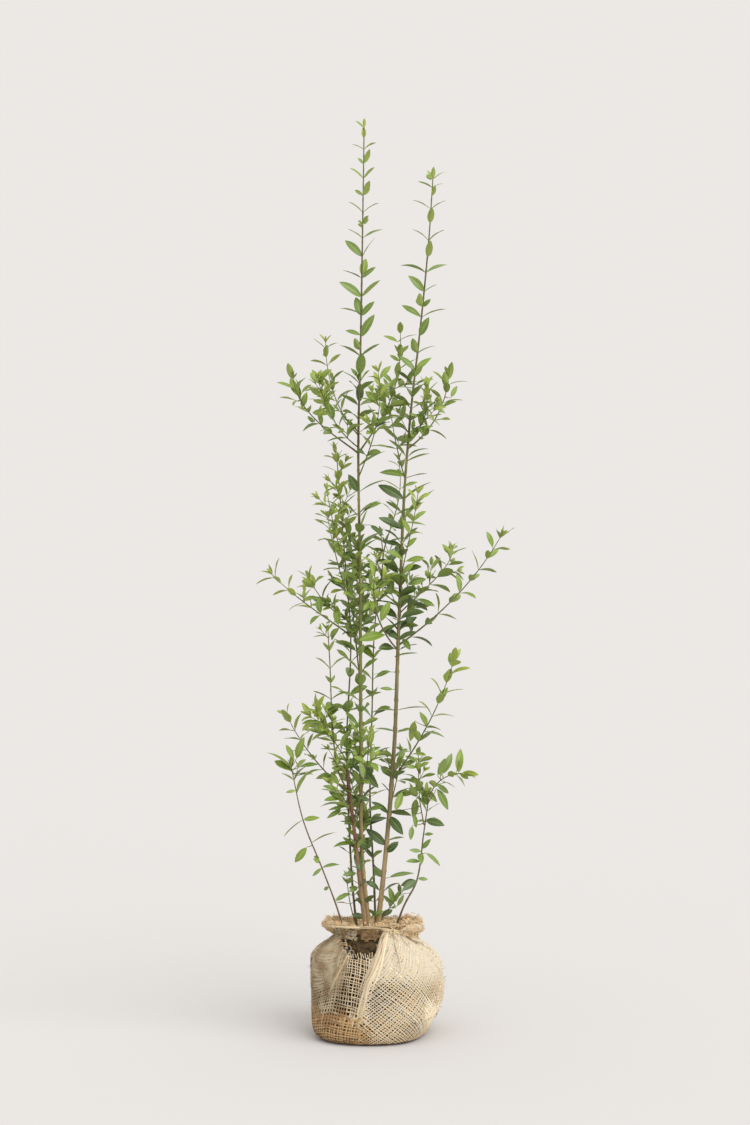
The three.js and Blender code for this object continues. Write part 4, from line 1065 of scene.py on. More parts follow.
def openness(p):
    """1 where the mesh is stretched open, 0 where the cloth is close."""
    x, y, z = p[..., 0], p[..., 1], p[..., 2]
    middle = np.interp(z, [50, 85, 112, 163], [-62, -53, -44, -30])
    half = np.interp(z, [50, 85, 112, 163], [29, 25, 23, 21])
    band = 1 - smoothstep(np.abs(x - middle) / half, 0.75, 1.15)
    band = band * smoothstep(z, 44, 66) * (1 - smoothstep(z, 176, 184)) * (y < 0)
    ball = np.stack([x, y, z], -1)
    uneven = 0.9 + 0.3 * np.clip(cloth_noise(ball * 1.3 + 9), -1, 1)
    right = smoothstep(x, -34, -8) * (1 - smoothstep(z + 0.12 * x, 104, 146)) * uneven * (1 - smoothstep(y, -50, 40))
    smooth = 1 - 0.85 * np.exp(-(((x - 98) / 18) ** 2) - ((z - 42) / 26) ** 2)
    right = right * smooth
    foot = (1 - smoothstep(z, 36, 60)) * smooth
    left = np.exp(-(((x + 94) / 34) ** 2)) * np.exp(-(((z - 76) / 42) ** 2)) * (y < 0)
    patches = smoothstep(cloth_noise(ball * 1.6 + 40), -0.3, 0.9) * smoothstep(z, 6, 20) * (1 - smoothstep(z, 110, 150))
    collar = smoothstep(z, 205, 212)
    return np.clip(np.maximum.reduce([band, (0.76 + 0.1 * (1 - smoothstep(z, 30, 70))) * right, 0.78 * foot, 0.95 * left, 0.4 * patches, 0.3 * collar]), 0, 1)


def far_left(p):
    """1 on the left flank, which is seen from the side and where the cloth lies flat."""
    return smoothstep(-p[..., 0], 68, 92) * (1 - smoothstep(p[..., 1], -10, 10))


def deep(p):
    """True where the holes of the mesh are drawn dark, with soil and shade painted on the cloth behind them."""
    x, y, z = p[..., 0], p[..., 1], p[..., 2]
    middle = np.interp(z, [50, 85, 112, 163], [-62, -53, -44, -30])
    half = np.interp(z, [50, 85, 112, 163], [29, 25, 23, 21])
    band = (np.abs(x - middle) < half * 1.1) & (z > 48) & (z < 182)
    return (y < 0) & band


def in_tear(p, grow=0.0):
    """True inside the tear in the front of the neck."""
    x, y, z = p[..., 0], p[..., 1], p[..., 2]
    ring = [(-67, 189), (-52, 202), (-10, 206), (15, 200), (4, 179), (-7, 163.5), (-41, 163), (-56, 171)]
    ring = [(rx + grow * math.copysign(1, rx + 22), rz + grow * math.copysign(1, rz - 182)) for rx, rz in ring]
    inside = y < -30
    for (x0, z0), (x1, z1) in zip(ring, ring[1:] + ring[:1]):
        inside = inside & ((x1 - x0) * (z - z0) - (z1 - z0) * (x - x0) < 0)
    return inside


def cloth_slot(p, seed, lean=0.0):
    """Which of the cloth's colours a stretch of thread has: 0 pale, 1 tan, 2 golden, 3 khaki, 4 brown, 5 olive, 6 dark
    (here painted contact shade at the foot), 8 bright (here a painted highlight).
    """
    x, y, z = p[..., 0], p[..., 1], p[..., 2]
    n = np.clip(cloth_noise(p * 2.2 + seed) * 0.1, -0.15, 0.15)
    m = np.clip(cloth_fine(p * 2.1 + seed + 30) * 0.16, -0.3, 0.3)
    front = y < 0
    # the right of the front is drawn pale, partly the cloth's own colour and partly painted light from that side
    pale = 0.25 + smoothstep(x, -42, -14) * smoothstep(z, 2, 24) * (0.68 + 0.22 * smoothstep(z + 0.15 * x, 104, 146)) * (1 - 0.5 * smoothstep(z, 196, 206))
    # painted light: a paler patch low on the right of the front, where the light falls fullest
    pale = pale + 0.3 * np.exp(-(((x - 98) / 16) ** 2) - ((z - 45) / 26) ** 2) * front
    pale = pale - 0.3 * np.exp(-(((x - 112) / 20) ** 2) - ((z - 100) / 34) ** 2) * front
    fading = 1 - 0.75 * smoothstep(y, -10, 70)
    # painted shade: the left flank leans to khaki, partly the cloth's own dull colour and partly the shade on that
    # side; it fades towards the back
    shaded = (1 - smoothstep(x, -78, -30)) * fading
    tan = 0.85 - 0.45 * shaded
    golden = 1.2 * (1 - smoothstep(z + 60 * m, 10, 100)) * (1 - smoothstep(x, -26, 16)) * fading + 0.5 * smoothstep(z, 200, 210)
    golden = golden + 0.4 * np.exp(-(((x - 114) / 16) ** 2) - ((z - 92) / 26) ** 2) * front
    khaki = 1.35 * shaded * smoothstep(z + 60 * m, 10, 96) * (1 - smoothstep(z, 180, 200)) + 0.2 * smoothstep(x, -20, 10)
    brown = 0.92 * (1 - smoothstep(x, -66, -6)) * (1 - smoothstep(z, 40, 100)) * fading + 0.4 * (1 - smoothstep(z, 4, 18))
    olive = 1.5 * (1 - smoothstep(x, -72, -62)) * smoothstep(z, 188, 194) * (1 - smoothstep(z, 202, 207)) * front
    # painted contact shade: the lowest threads, where the ball stands on the floor, take the dark colour
    contact_shade = 2.2 * (1 - smoothstep(z, 1.0, 5.0))
    score = np.stack([pale + n, tan - n * 0.6, golden + m, khaki - n, brown - m, olive + n, contact_shade], -1) + lean
    best = np.argmax(score, axis=-1)
    spot = lean[..., 0] if np.ndim(lean) else 0.0
    # painted highlight: where the light falls fullest, low on the right of the front, pale and tan threads take the
    # bright colour
    lit = np.exp(-(((x - 102) / 20) ** 2) - ((z - 46) / 32) ** 2) * front + n + 0.5 * m + 1.5 * spot
    return np.where((best < 2) & (lit > 0.5), 8, best)


def cloth_end(theta):
    """Where the cloth ends: short in front of the neck, where it goes under the twine."""
    front = smoothstep(-np.sin(theta), 0.55, 0.85)
    return RIM - front * (RIM - NECK - 9)


def weave(stretch):
    rng = np.random.default_rng(5 + stretch)
    PITCH = PITCHES[stretch]
    if stretch == 0:
        columns = np.arange(-math.ceil(math.radians(345) * GIRTH / PITCH), -math.floor(math.radians(52) * GIRTH / PITCH))
        rows = np.arange(int(60 / PITCH), math.ceil((RIM + 30) / PITCH))
    else:
        reach = math.ceil((RIM + math.radians(110) * GIRTH) / math.sqrt(2) / PITCH) + 4
        columns = rows = np.arange(-reach // 3, reach)
    ia, ib = np.meshgrid(columns, rows, indexing="ij")
    da, db = rng.normal(0, 0.09, len(columns)) * PITCH, rng.normal(0, 0.09, len(rows)) * PITCH
    a = ia * PITCH + da[:, None]
    b = ib * PITCH + db[None]
    wander = 0.55
    a = a + wander * np.sin(b * 0.11 + ia * 1.7)
    b = b + wander * np.sin(a * 0.10 + ib * 2.3)
    theta, rho = (laid_left if stretch == 0 else laid_right)(a, b)
    p = wrapped(theta, np.clip(rho, 0, RIM), 0.35 * stretch)
    n = cloth_normal(theta, np.clip(rho, 0, RIM - 1))
    edge = cloth_end(theta) - 2.5 + 2.2 * RAGGED(np.stack([a, b, a * 0], -1))
    there = (rho > 97) & (rho < edge) & ~in_tear(p, 2.0)
    turn = np.degrees(theta)
    join = seam(p[..., 2])
    if stretch == 0:
        there &= (turn < join + 1.5) & (turn > BACK_SEAM - 360 - 3)
    else:
        there &= (turn > join - 1.5) & (turn < BACK_SEAM + 3)
    wide = openness(p)
    slubs = waves(66, 8, 0.02, 0.08)(np.stack([a * 1.0, b * 1.0, a * 0], -1))
    builder = Builder()
    total = 0
    for family in (0, 1):
        P, N, T, W, I, J, K = (v if family == 0 else np.swapaxes(v, 0, 1) for v in (p, n, there, wide, ia, ib, slubs))
        across = np.zeros_like(P)
        across[1:-1] = (P[2:] - P[:-2]) / 2
        across[0], across[-1] = across[1], across[-2]
        over = np.where((I + J) % 2 == family, 1.0, -1.0)
        t = P.shape[1]
        per_thread = rng.normal(1, 0.09, P.shape[0])[:, None]
        share = (0.5 - 0.33 * W) * per_thread * (1 + 0.16 * K * (0.3 + 0.7 * W))
        lean = rng.normal(0, 0.12, (P.shape[0], 1, 7)) + rng.normal(0, 0.08, P.shape[:2] + (7,))
        gap = np.linalg.norm(across, axis=-1)
        half = np.clip(share * gap, 0.4, 2.6)
        flat = far_left(P)
        lay = 0.1 + 0.26 * W * (1 - 0.75 * flat)
        mid = P + N * (over * lay)[..., None]
        way = across / np.maximum(gap, 1e-6)[..., None]
        thick = (0.24 + 0.12 * W) * (1 - 0.45 * flat)
        left = mid - way * half[..., None] - N * (thick * 0.45)[..., None]
        right = mid + way * half[..., None] - N * (thick * 0.45)[..., None]
        up1 = mid - way * (half * 0.45)[..., None] + N * thick[..., None]
        up2 = mid + way * (half * 0.45)[..., None] + N * thick[..., None]
        ring = np.stack([left, up1, up2, right], axis=2)  # thread, step, 4, 3
        ring[..., 2] = np.maximum(ring[..., 2], 0.0)
        seg = T[:, :-1] & T[:, 1:]
        used = np.zeros(T.shape, bool)
        used[:, :-1] |= seg
        used[:, 1:] |= seg
        index = -np.ones(T.size, int)
        index[used.ravel()] = np.arange(used.sum())
        i, j = np.nonzero(seg)
        first, second = index[i * t + j] * 4, index[i * t + j + 1] * 4
        quads, slots = [], []
        slot_here = cloth_slot(P, 11 + family * 17, lean)[i, j]
        for c in range(4):
            k = (c + 1) % 4
            quads.append(np.stack([first + c, first + k, second + k, second + c], -1))
            slots.append(slot_here)
        start = seg & ~np.concatenate([np.zeros((len(T), 1), bool), seg[:, :-1]], axis=1)
        end = seg & ~np.concatenate([seg[:, 1:], np.zeros((len(T), 1), bool)], axis=1)
        for which, shift, order in ((start, 0, (3, 2, 1, 0)), (end, 1, (0, 1, 2, 3))):
            ci, cj = np.nonzero(which)
            f = index[ci * t + cj + shift] * 4
            quads.append(np.stack([f + o for o in order], -1))
            slots.append(cloth_slot(P, 11 + family * 17, lean)[ci, cj])
        builder.add(ring.reshape(-1, 4, 3)[used.ravel()].reshape(-1, 3), np.concatenate(quads), np.concatenate(slots))
        total += len(i)
        if family == 0:
            warp = builder
            builder = Builder()
    return warp, builder


def fibre(builder, r, start, way, length, thick, slot, curl=0.9, sag=0.5):
    """A loose curled fibre."""
    steps = 5
    points = [np.array(start, float)]
    w = unit(np.array(way, float))
    turn = np.array([r.gauss(0, 1) for _ in range(3)])
    for _ in range(steps):
        w = unit(w + np.cross(w, turn) * curl * 0.45 + np.array([0, 0, -0.12 * sag]) + np.array([r.gauss(0, 0.2) for _ in range(3)]) * curl)
        points.append(points[-1] + w * length / steps)
    p = np.array(points)
    p[:, 2] = np.maximum(p[:, 2], thick + 0.2)  # what hangs low lies on the ground
    add_tube(builder, p, np.linspace(thick, thick * 0.6, len(p)), 3, slot=slot)


HESSIAN = [
    surface("hessian_pale", (206, 194, 171), 0.85, 0.08, 500, 0.5, specular=0.2),
    surface("hessian_tan", (206, 186, 153), 0.85, 0.08, 500, 0.5, specular=0.2),
    surface("hessian_golden", (182, 151, 108), 0.85, 0.08, 500, 0.5, specular=0.2),
    surface("hessian_khaki", (184, 170, 142), 0.85, 0.08, 110, 0.3, specular=0.2, second=(148, 128, 98)),
    surface("hessian_brown", (150, 120, 84), 0.85, 0.08, 500, 0.5, specular=0.2),
    surface("hessian_olive", (170, 160, 110), 0.85, 0.08, 500, 0.5, specular=0.2),
    # dark straws, and painted shade at the foot of the ball and in the crease at the right shoulder
    surface("hessian_dirt_and_shade", (98, 76, 52), 0.9, 0.08, 500, 0.5, specular=0.15),
    surface("hessian_straw", (240, 208, 162), 0.85, 0.08, 500, 0.5, specular=0.2),
    # bright straw for the collar, and a painted highlight on the cloth and the bundle's ridges
    surface("hessian_bright_and_highlight", (232, 217, 187), 0.85, 0.06, 500, 0.5, specular=0.2),
]
for stretch, side in enumerate(("left", "right")):
    for name, builder in zip(("warp", "weft"), weave(stretch)):
        piece = builder.make(f"hessian_{name}_{side}", HESSIAN)
        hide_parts("hessian_wrap")

# the cloth behind the threads, which closes the gaps between them. Its colours are painted shade: cloth in shade behind
# the close weave, dark brown in the holes low on the left and right, near-black soil and shade in the open band, and
# the shaded flap in the tear.
around, levels = 150, 72
theta = np.arange(around) * TAU / around
s = np.concatenate([np.linspace(0, 96, 6)[1:], np.linspace(99, RIM - 5, levels)])
T, S = np.meshgrid(theta, s)
outer = wrapped(T, S, -0.7 - 0.6 * deep(wrapped(T, S)) + 0.35 * far_left(wrapped(T, S)))
outer[..., 2] = np.maximum(outer[..., 2], 0.0)
normal = cloth_normal(T, S)
inner = outer - normal * 1.2
inner[..., 2] = np.maximum(inner[..., 2], 0.6)
builder = Builder()
rows_, cols_ = T.shape
keep = (S[1:] < cloth_end(T[1:]) + 1) & ~in_tear((outer[:-1] + outer[1:]) / 2, 1.0) | ((outer[:-1, :, 2] > 187 + 3 * np.sin(theta * 31)) & (outer[:-1, :, 0] > -32))
quads = grid_faces(rows_, around)
row, col = np.divmod(np.arange(len(quads)), around)
nxt = (col + 1) % around
kept = keep[row, col] & keep[row, nxt]
mid = outer[row, col]
front_ = mid[:, 1] < 0
low_left = front_ & ((mid[:, 0] < 12) & (mid[:, 2] < 56) | (((mid[:, 0] + 98) / 34) ** 2 + ((mid[:, 2] - 76) / 46) ** 2 < 1))
lower_right = front_ & (mid[:, 0] > -34) & (mid[:, 2] < 132)
# painted shade by place: 1 the dark holes of the open band, 3 the shaded flap in the tear, 4 and 5 dark holes low on
# the left and right, 0 shaded cloth elsewhere
dark = np.where(deep(mid), 1, np.where(in_tear(mid, 3), 3, np.where(low_left, 4, np.where(lower_right, 5, 0))))
n0 = rows_ * around
builder.add(np.concatenate([outer.reshape(-1, 3), inner.reshape(-1, 3), [[0, 0, 0], [0, 0, 0.6]]]), quads[kept], dark[kept])
builder.faces.append(quads[kept][:, ::-1] + n0)
builder.slots.append(np.where(mid[kept][:, 2] > 190, 2, 1))
j = np.arange(around)
k = (j + 1) % around
builder.faces.append(np.stack([j * 0 + 2 * n0, k, j], -1))
builder.slots.append(np.zeros(around, int))
builder.faces.append(np.stack([j * 0 + 2 * n0 + 1, n0 + j, n0 + k], -1))
builder.slots.append(np.ones(around, int))
last = (rows_ - 1) * around
closed = keep[-1, j] & keep[-1, k]
builder.faces.append(np.stack([last + j, last + k, n0 + last + k, n0 + last + j], -1)[closed])
builder.slots.append(np.full(int(closed.sum()), 2))
# the edge of the tear, between the outside and the inside
edges = {}
for q in quads[kept]:
    for x, y in zip(q, np.roll(q, -1)):
        edges[(int(x), int(y))] = True
top = [bool(c) for c in closed]
rim_edges = [(x, y) for (x, y) in edges if (y, x) not in edges and not (x >= last and y >= last) and not (x < around and y < around)]
if rim_edges:
    e = np.array(rim_edges)
    builder.faces.append(np.stack([e[:, 1], e[:, 0], e[:, 0] + n0, e[:, 1] + n0], -1))
    builder.slots.append(np.zeros(len(e), int))
piece = builder.make(
    "hessian_backing",
    [
        surface("hessian_shade_behind", (140, 114, 80), 0.95, 0.04, 300, 0.6, specular=0.1, second=(108, 87, 60)),
        surface("hessian_holes_soil_and_shade", (46, 36, 26), 0.95, 0.04, 300, 0.6, specular=0.1, second=(30, 24, 17)),
        surface("hessian_collar_inside", (214, 188, 148), 0.95, 0.04, 300, 0.6, specular=0.1, second=(176, 148, 106)),
        surface("hessian_shaded_flap", (130, 107, 76), 0.95, 0.04, 300, 0.6, specular=0.1, second=(82, 64, 42)),
        surface("hessian_shade_behind_brown", (66, 49, 31), 0.95, 0.04, 300, 0.6, specular=0.1, second=(48, 36, 24)),
        surface("hessian_shade_behind_tan", (72, 54, 35), 0.95, 0.04, 300, 0.6, specular=0.1, second=(54, 41, 27)),
    ],
)
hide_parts("hessian_wrap")

# pinched pleats along the folds; the taller ones in front have a thin dark tube along one side, painted shade of the
# crease
def level_s(z):
    return np.interp(z, PROFILE[1][150:], PROFILE_S[150:])


def pleat(builder, r, points, width, height, front, palette=(0, 0, 0, 1)):
    az = np.radians([q[0] for q in points])
    zs = np.array([q[1] for q in points], float)
    d = np.concatenate([[0], np.cumsum(np.hypot(np.diff(az) * 110, np.diff(zs)))])
    n = max(12, int(d[-1] / 2.6))
    t = np.linspace(0, 1, n)
    at = t * d[-1]
    sigma = d[-1] * 0.09
    fine = np.linspace(-0.2, 1.2, 240) * d[-1]
    k = np.exp(-(((at[:, None] - fine[None]) / sigma) ** 2))
    k = k / k.sum(axis=1, keepdims=True)

    def smoothed(v):  # the ends go on straight
        before = v[0] + (v[1] - v[0]) / (d[1] - d[0]) * np.minimum(fine - 0, 0)
        after = (v[-1] - v[-2]) / (d[-1] - d[-2]) * np.maximum(fine - d[-1], 0)
        return k @ (np.interp(fine, d, v) + (before - v[0]) + after)

    az, zs = smoothed(az), smoothed(zs)
    wander = waves(r.randrange(1000), 5, 0.03, 0.09)
    az = az + (0.011 if front else 0.02) * wander(np.stack([at, at * 0, at * 0], -1))
    s = level_s(zs)
    mid = wrapped(az, s, 0.0)
    n_at = cloth_normal(az, s)
    way = unit(np.gradient(mid, axis=0))
    side = unit(np.cross(n_at, way))
    grow = smoothstep(t, -0.02, 0.1) * (1 - smoothstep(t, 0.55, 1.0))
    w = width * (0.62 + 0.38 * smoothstep(t, 0.0, 0.4)) * (0.35 + 0.65 * np.sqrt(np.maximum(grow, 0)))
    w = w * (1 + 0.16 * wander(np.stack([at * 1.7, at * 0 + 4, at * 0], -1)))
    h = height * grow * (1 + 0.14 * wander(np.stack([at * 2.3, at * 0 + 9, at * 0], -1)))
    u = np.linspace(-1, 1, 12)
    crest = (1 - np.abs(u) ** 1.8) ** 1.0
    ripple = min(0.3, height * 0.14) * np.cos(u * 4.5 * math.pi)
    across = side[:, None] * (u * (1 + 0.1 * (1 - u * u)))[None, :, None] * w[:, None, None]
    tops = mid[:, None] + across + n_at[:, None] * (-1.2 + (h[:, None] + 1.2) * crest[None] + ripple[None] * grow[:, None])[..., None]
    under = mid[:, None] + side[:, None] * np.array([0.9, 0.0, -0.9])[None, :, None] * w[:, None, None] - n_at[:, None] * 2.4
    ring = np.concatenate([tops, under], axis=1)
    m = ring.shape[1]
    colours = [r.choice(palette) if front else int(cloth_slot(mid[n // 3], 11 + j)) for j in range(m)]
    flat = ring.reshape(-1, 3)
    ends = [ring[0].mean(axis=0), ring[-1].mean(axis=0)]
    start = builder.count
    builder.add(np.concatenate([flat, ends]), grid_faces(n, m)[:, ::-1], np.tile(colours, n - 1))
    j = np.arange(m)
    k2 = (j + 1) % m
    last = (n - 1) * m
    builder.faces.append(np.stack([j, k2, j * 0 + n * m], -1) + start)
    builder.slots.append(np.full(m, 1))
    builder.faces.append(np.stack([last + k2, last + j, j * 0 + n * m + 1], -1) + start)
    builder.slots.append(np.full(m, 1))
    # painted shade: a thin dark tube beside the pleat's foot
    if front and height > 1.5:  # the crease at its foot
        line = mid - side * (w + 0.3)[:, None] + n_at * 0.1
        line = line[int(n * 0.06) : int(n * 0.6)]
        add_tube(builder, line, np.linspace(0.8, 0.4, len(line)), 4, slot=r.choice([3, 4]))


builder = Builder()
r = random.Random(58)
# the ridges of the bundle: how far beside its middle they run, the stretch of height, half width and height
RIDGES = [
    (-4.6, 188, 96, 2.0, 1.9), (-2.6, 191, 60, 2.4, 2.8), (-0.9, 178, 118, 1.6, 3.0), (0.7, 191, 70, 2.5, 3.1), (2.5, 184, 104, 1.7, 2.4),
    (4.3, 190, 88, 2.2, 2.6), (6.4, 178, 112, 1.6, 1.7), (-6.2, 160, 84, 1.4, 1.2), (1.6, 120, 50, 1.9, 1.6), (-1.6, 112, 44, 1.8, 1.5),
]  # fmt: skip
levels_ = np.array([q[1] for q in BUNDLE][::-1], float)
turns_ = np.array([q[0] for q in BUNDLE][::-1], float)
for off, high, low, width, height in RIDGES:
    line = []
    for z in np.linspace(high, low, 7):
        spread = np.interp(z, [60, 110, 150, 191], [1.2, 1.0, 0.8, 0.62])
        line.append((float(np.interp(z, levels_, turns_)) + off * spread, float(z)))
    # painted shade and highlight: ridges left of the bundle's middle take tan and khaki, the others mostly the bright
    # colour
    pleat(builder, r, line, width, height, True, (1, 3, 1, 0, 3) if off < -2.5 else (8, 0, 8, 8, 1))
# fine wrinkles that run out from the knot over the right shoulder
for points, width, height in [
    ([(-56, 189), (-63, 166), (-68, 140), (-70, 118)], 2.0, 1.9),
    ([(-51, 189), (-54, 168), (-56, 146)], 1.6, 1.45),
    ([(-46, 189), (-45, 170), (-43, 150), (-42, 138)], 1.9, 1.8),
    ([(-41, 189), (-36, 174), (-31, 158)], 1.6, 1.45),
    ([(-36, 189), (-27, 176), (-18, 162)], 2.0, 1.9),
]:
    pleat(builder, r, points, width, height, True)
# the soft edge left of the open mesh
pleat(builder, r, [(-115, 160), (-119, 150), (-125, 136), (-132, 108), (-138, 82)], 2.8, 1.5, True, (1, 3, 3, 3))
# the edge of the cloth that is folded over at the right shoulder, with a dark tube under it: painted shade of the
# crease
pleat(builder, r, [(-31, 189), (-22, 180), (-12, 170), (-4, 162), (2, 156)], 3.2, 3.0, True)
crease = []
for z, a, out in zip(np.linspace(190, 162, 12), np.interp(np.linspace(188, 160, 12), [157, 162, 170, 180, 188], [4.5, -1.5, -9.0, -18.5, -28.0]), np.linspace(1.2, -0.5, 12)):
    crease.append(wrapped(math.radians(a), float(level_s(z)), out)[()])
add_tube(builder, np.array(crease), np.linspace(1.6, 0.6, 12), 4, slot=6)
for points, width, height in FOLDS[7:]:
    pleat(builder, r, points, width * 0.5, height * 0.24, False)
piece = builder.make("hessian_pleats", HESSIAN, sharp_angle=math.radians(60))

# loose fibres: a frayed collar, a fuzz on the cloth and ends in the tear
def curl(builder, r, centre, radius, thick, slot, turns=1.2, rise=1.0):
    """A loose end that has curled up into a loop."""
    t = np.linspace(0, TAU * turns, 3 + int(6 * turns))
    e1 = unit(np.array([r.gauss(0, 1) for _ in range(3)]))
    e2 = unit(np.cross(e1, np.array([r.gauss(0, 1) for _ in range(3)])))
    e3 = np.cross(e1, e2)
    grow = radius * (1 - 0.35 * t / t[-1])
    p = centre + (np.cos(t) * grow)[:, None] * e1 + (np.sin(t) * grow)[:, None] * e2 + (t / TAU * rise * thick * 2)[:, None] * e3
    add_tube(builder, p, np.linspace(thick, thick * 0.7, len(p)), 3, slot=slot)


r = random.Random(77)
builder = Builder()
STRAW = [0, 8, 7, 7, 7, 7, 1, 1]
for _ in range(1500):  # the ruff
    a = r.uniform(0, TAU)
    side = abs(math.cos(a)) ** 3
    front = max(0.0, -math.sin(a)) ** 2
    if r.random() > 0.5 + 0.5 * side:
        continue
    end = float(cloth_end(a))
    s_at = end - abs(r.gauss(0, 3 + 8 * side * (1 - front)))
    p = wrapped(a, s_at, r.uniform(-7.0, -2.0))[()]
    n = cloth_normal(np.array(a), np.array(min(s_at, end - 3)))
    w = n * r.uniform(-0.9, 0.5) * (1 - front) + np.array([-math.sin(a), math.cos(a), 0]) * r.gauss(0, 0.9) + np.array([0, 0, r.uniform(-0.3, 0.6) + 0.4 * front])
    fibre(builder, r, p, w, r.uniform(6, 12) * (1 - 0.4 * front), r.uniform(0.35, 0.65), r.choice(STRAW), 1.9)
for _ in range(1100):  # loops, thickest at the two sides, where they hang over the twine
    right = r.random() < 0.62
    a = math.radians(r.gauss(-12, 30) if right else r.gauss(188, 27))
    level = r.uniform(0.0, 1.0) ** 0.8
    s_at = RIM - 1 - (29 if right else 27) * level
    p = wrapped(a, s_at, 0.0)[()]
    away = np.array([math.cos(a), math.sin(a), 0.0])
    p = p + away * (r.uniform(-9.0, -2.0) + (5.0 if right else 5.5) * level) + np.array([0, 0, r.uniform(0, 11.0 if right else 5.0) * (1 - level)])
    curl(builder, r, p, r.uniform(1.6, 3.6), r.uniform(0.45, 0.75), r.choice(STRAW), r.uniform(0.8, 1.5))
for _ in range(520):  # and over the two ends of the tie
    right = r.random() < 0.6
    a = math.radians(r.gauss(-14, 17) if right else r.gauss(187, 15))
    p = wrapped(a, NECK + 8 - 7.5 * math.cos(a) + r.gauss(0, 4.5), r.uniform(0.5, 5.5))[()]
    curl(builder, r, p, r.uniform(1.6, 3.4), r.uniform(0.45, 0.75), r.choice(STRAW), r.uniform(0.8, 1.5))
for _ in range(300):  # and lower ones along the back
    a = math.radians(r.uniform(20, 160))
    p = wrapped(a, RIM - r.uniform(0, 14), r.uniform(-5, 1))[()]
    curl(builder, r, p, r.uniform(1.6, 3.2), r.uniform(0.4, 0.7), r.choice(STRAW), r.uniform(0.7, 1.3))
for _ in range(800):  # on the inside of the collar and over the soil
    a, u = r.uniform(0, TAU), math.sqrt(r.uniform(0.1, 1.1))
    front = max(0.0, -math.sin(a))
    z = SOIL_TOP + 13 + 13 * max(0.0, u - 0.7) / 0.35 * r.random() + 12 * front * u**2 * r.random()
    p = np.array([WRAP["neck_shift"] + 73 * u * math.cos(a), 73 * u * math.sin(a), z])
    w = np.array([r.gauss(0, 1), r.gauss(0, 1), r.uniform(-0.1, 0.6)])
    fibre(builder, r, p, w, r.uniform(7, 16), r.uniform(0.4, 0.75), r.choice([0, 0, 7, 7, 1, 1, 2]), 1.6)
piece = builder.make("hessian_ruff", HESSIAN)

builder = Builder()
for _ in range(620):
    a = r.uniform(0, TAU)
    s_at = r.uniform(104, RIM - 30)
    p = wrapped(a, s_at, 0.6)[()]
    if in_tear(p, 2):
        continue
    n = cloth_normal(np.array(a), np.array(s_at))
    w = n * r.uniform(0.1, 0.5) + np.array([-math.sin(a), math.cos(a), 0]) * r.gauss(0, 1) + np.array([0, 0, r.gauss(0, 0.8)])
    shaded = p[1] < 0 and p[0] < -30
    fibre(builder, r, p, w, r.uniform(3, 6) if shaded else r.uniform(4, 10), 0.14 if shaded else r.uniform(0.14, 0.28), 3 if shaded else int(cloth_slot(p, 3)), 0.6, 0.2)


def on_cloth(x, z, out=0.0):
    """The point of the front of the wrap at that place as seen from the front."""
    a = math.atan2(-1.0, x / 90)
    for _ in range(12):
        ring = wrapped(np.full(len(PROFILE_S) - 150, a), PROFILE_S[150:], out)
        near = ring[np.argmin(np.abs(ring[:, 2] - z))]
        a -= (x - near[0]) / max(20.0, abs(near[1])) * -0.9
    return near


for k in range(11):
    x = -47 + 4.3 * k + r.uniform(-0.9, 0.9)
    at = on_cloth(x, 162.5 + r.uniform(-1, 1))
    out = unit(np.array([at[0], at[1], 0]))
    reach = r.uniform(4, 9.5)
    w = np.array([r.uniform(-0.3, 0.12), 0, 1.0]) + out * r.uniform(-0.15, 0.3)
    points = np.array([at - w * 3, at, at + w * reach * 0.5 + out * 0.5, at + w * reach + np.array([r.uniform(-1.5, 1.0), 0, 0])])
    add_tube(builder, Line(points).at(np.linspace(0, Line(points).length, 8)), np.linspace(1.0, 0.6, 8), 5, slot=r.choice([0, 0, 7]))
for _ in range(26):  # torn ends at the left of the tear
    at = on_cloth(r.uniform(-72, -50), r.uniform(164, 192), 1.0)
    w = np.array([r.gauss(0.3, 0.6), -0.35, r.gauss(0.2, 0.8)])
    fibre(builder, r, at, w, r.uniform(10, 22), r.uniform(0.45, 0.8), r.choice([0, 0, 7, 1]), 1.3, 0.2)
for _ in range(60):  # at its right and along the tie
    x = r.uniform(-2, 14)
    at = on_cloth(x, np.interp(x, [-2, 14], [166, 200]) + r.uniform(-3, 3), 0.5)
    fibre(builder, r, at, (r.gauss(-0.6, 0.6), -0.4, r.gauss(0.1, 0.6)), r.uniform(4, 10), r.uniform(0.3, 0.6), r.choice([0, 0, 1, 3]), 1.2)
for _ in range(90):  # dark straws caught in the cloth
    a = math.radians(r.choice([r.gauss(-30, 22), r.uniform(0, 360)]))
    s_at = float(level_s(r.uniform(8, 150)))
    at = wrapped(a, s_at, 0.9)[()]
    if in_tear(at, 3):
        continue
    fibre(builder, r, at, np.array([-math.sin(a), math.cos(a), 0]) * r.gauss(0, 1) + np.array([0, 0, r.gauss(0, 1)]), r.uniform(4, 11), r.uniform(0.3, 0.5), r.choice([4, 6]), 0.7, 0.1)
for _ in range(120):  # a tangle where the cloth is torn off under the tie
    at = on_cloth(r.uniform(-74, -38), r.uniform(190, 204), 1.5)
    curl(builder, r, at, r.uniform(1.4, 3.2), r.uniform(0.4, 0.7), r.choice([0, 0, 0, 7, 1, 5]), r.uniform(0.8, 1.4))
for _ in range(110):  # and greenish fuzz left of it
    at = on_cloth(r.uniform(-84, -62), r.uniform(187, 203), 1.0)
    curl(builder, r, at, r.uniform(1.4, 3.0), r.uniform(0.4, 0.7), r.choice([5, 5, 5, 0, 7]), r.uniform(0.7, 1.3))
piece = builder.make("hessian_fibres", HESSIAN)

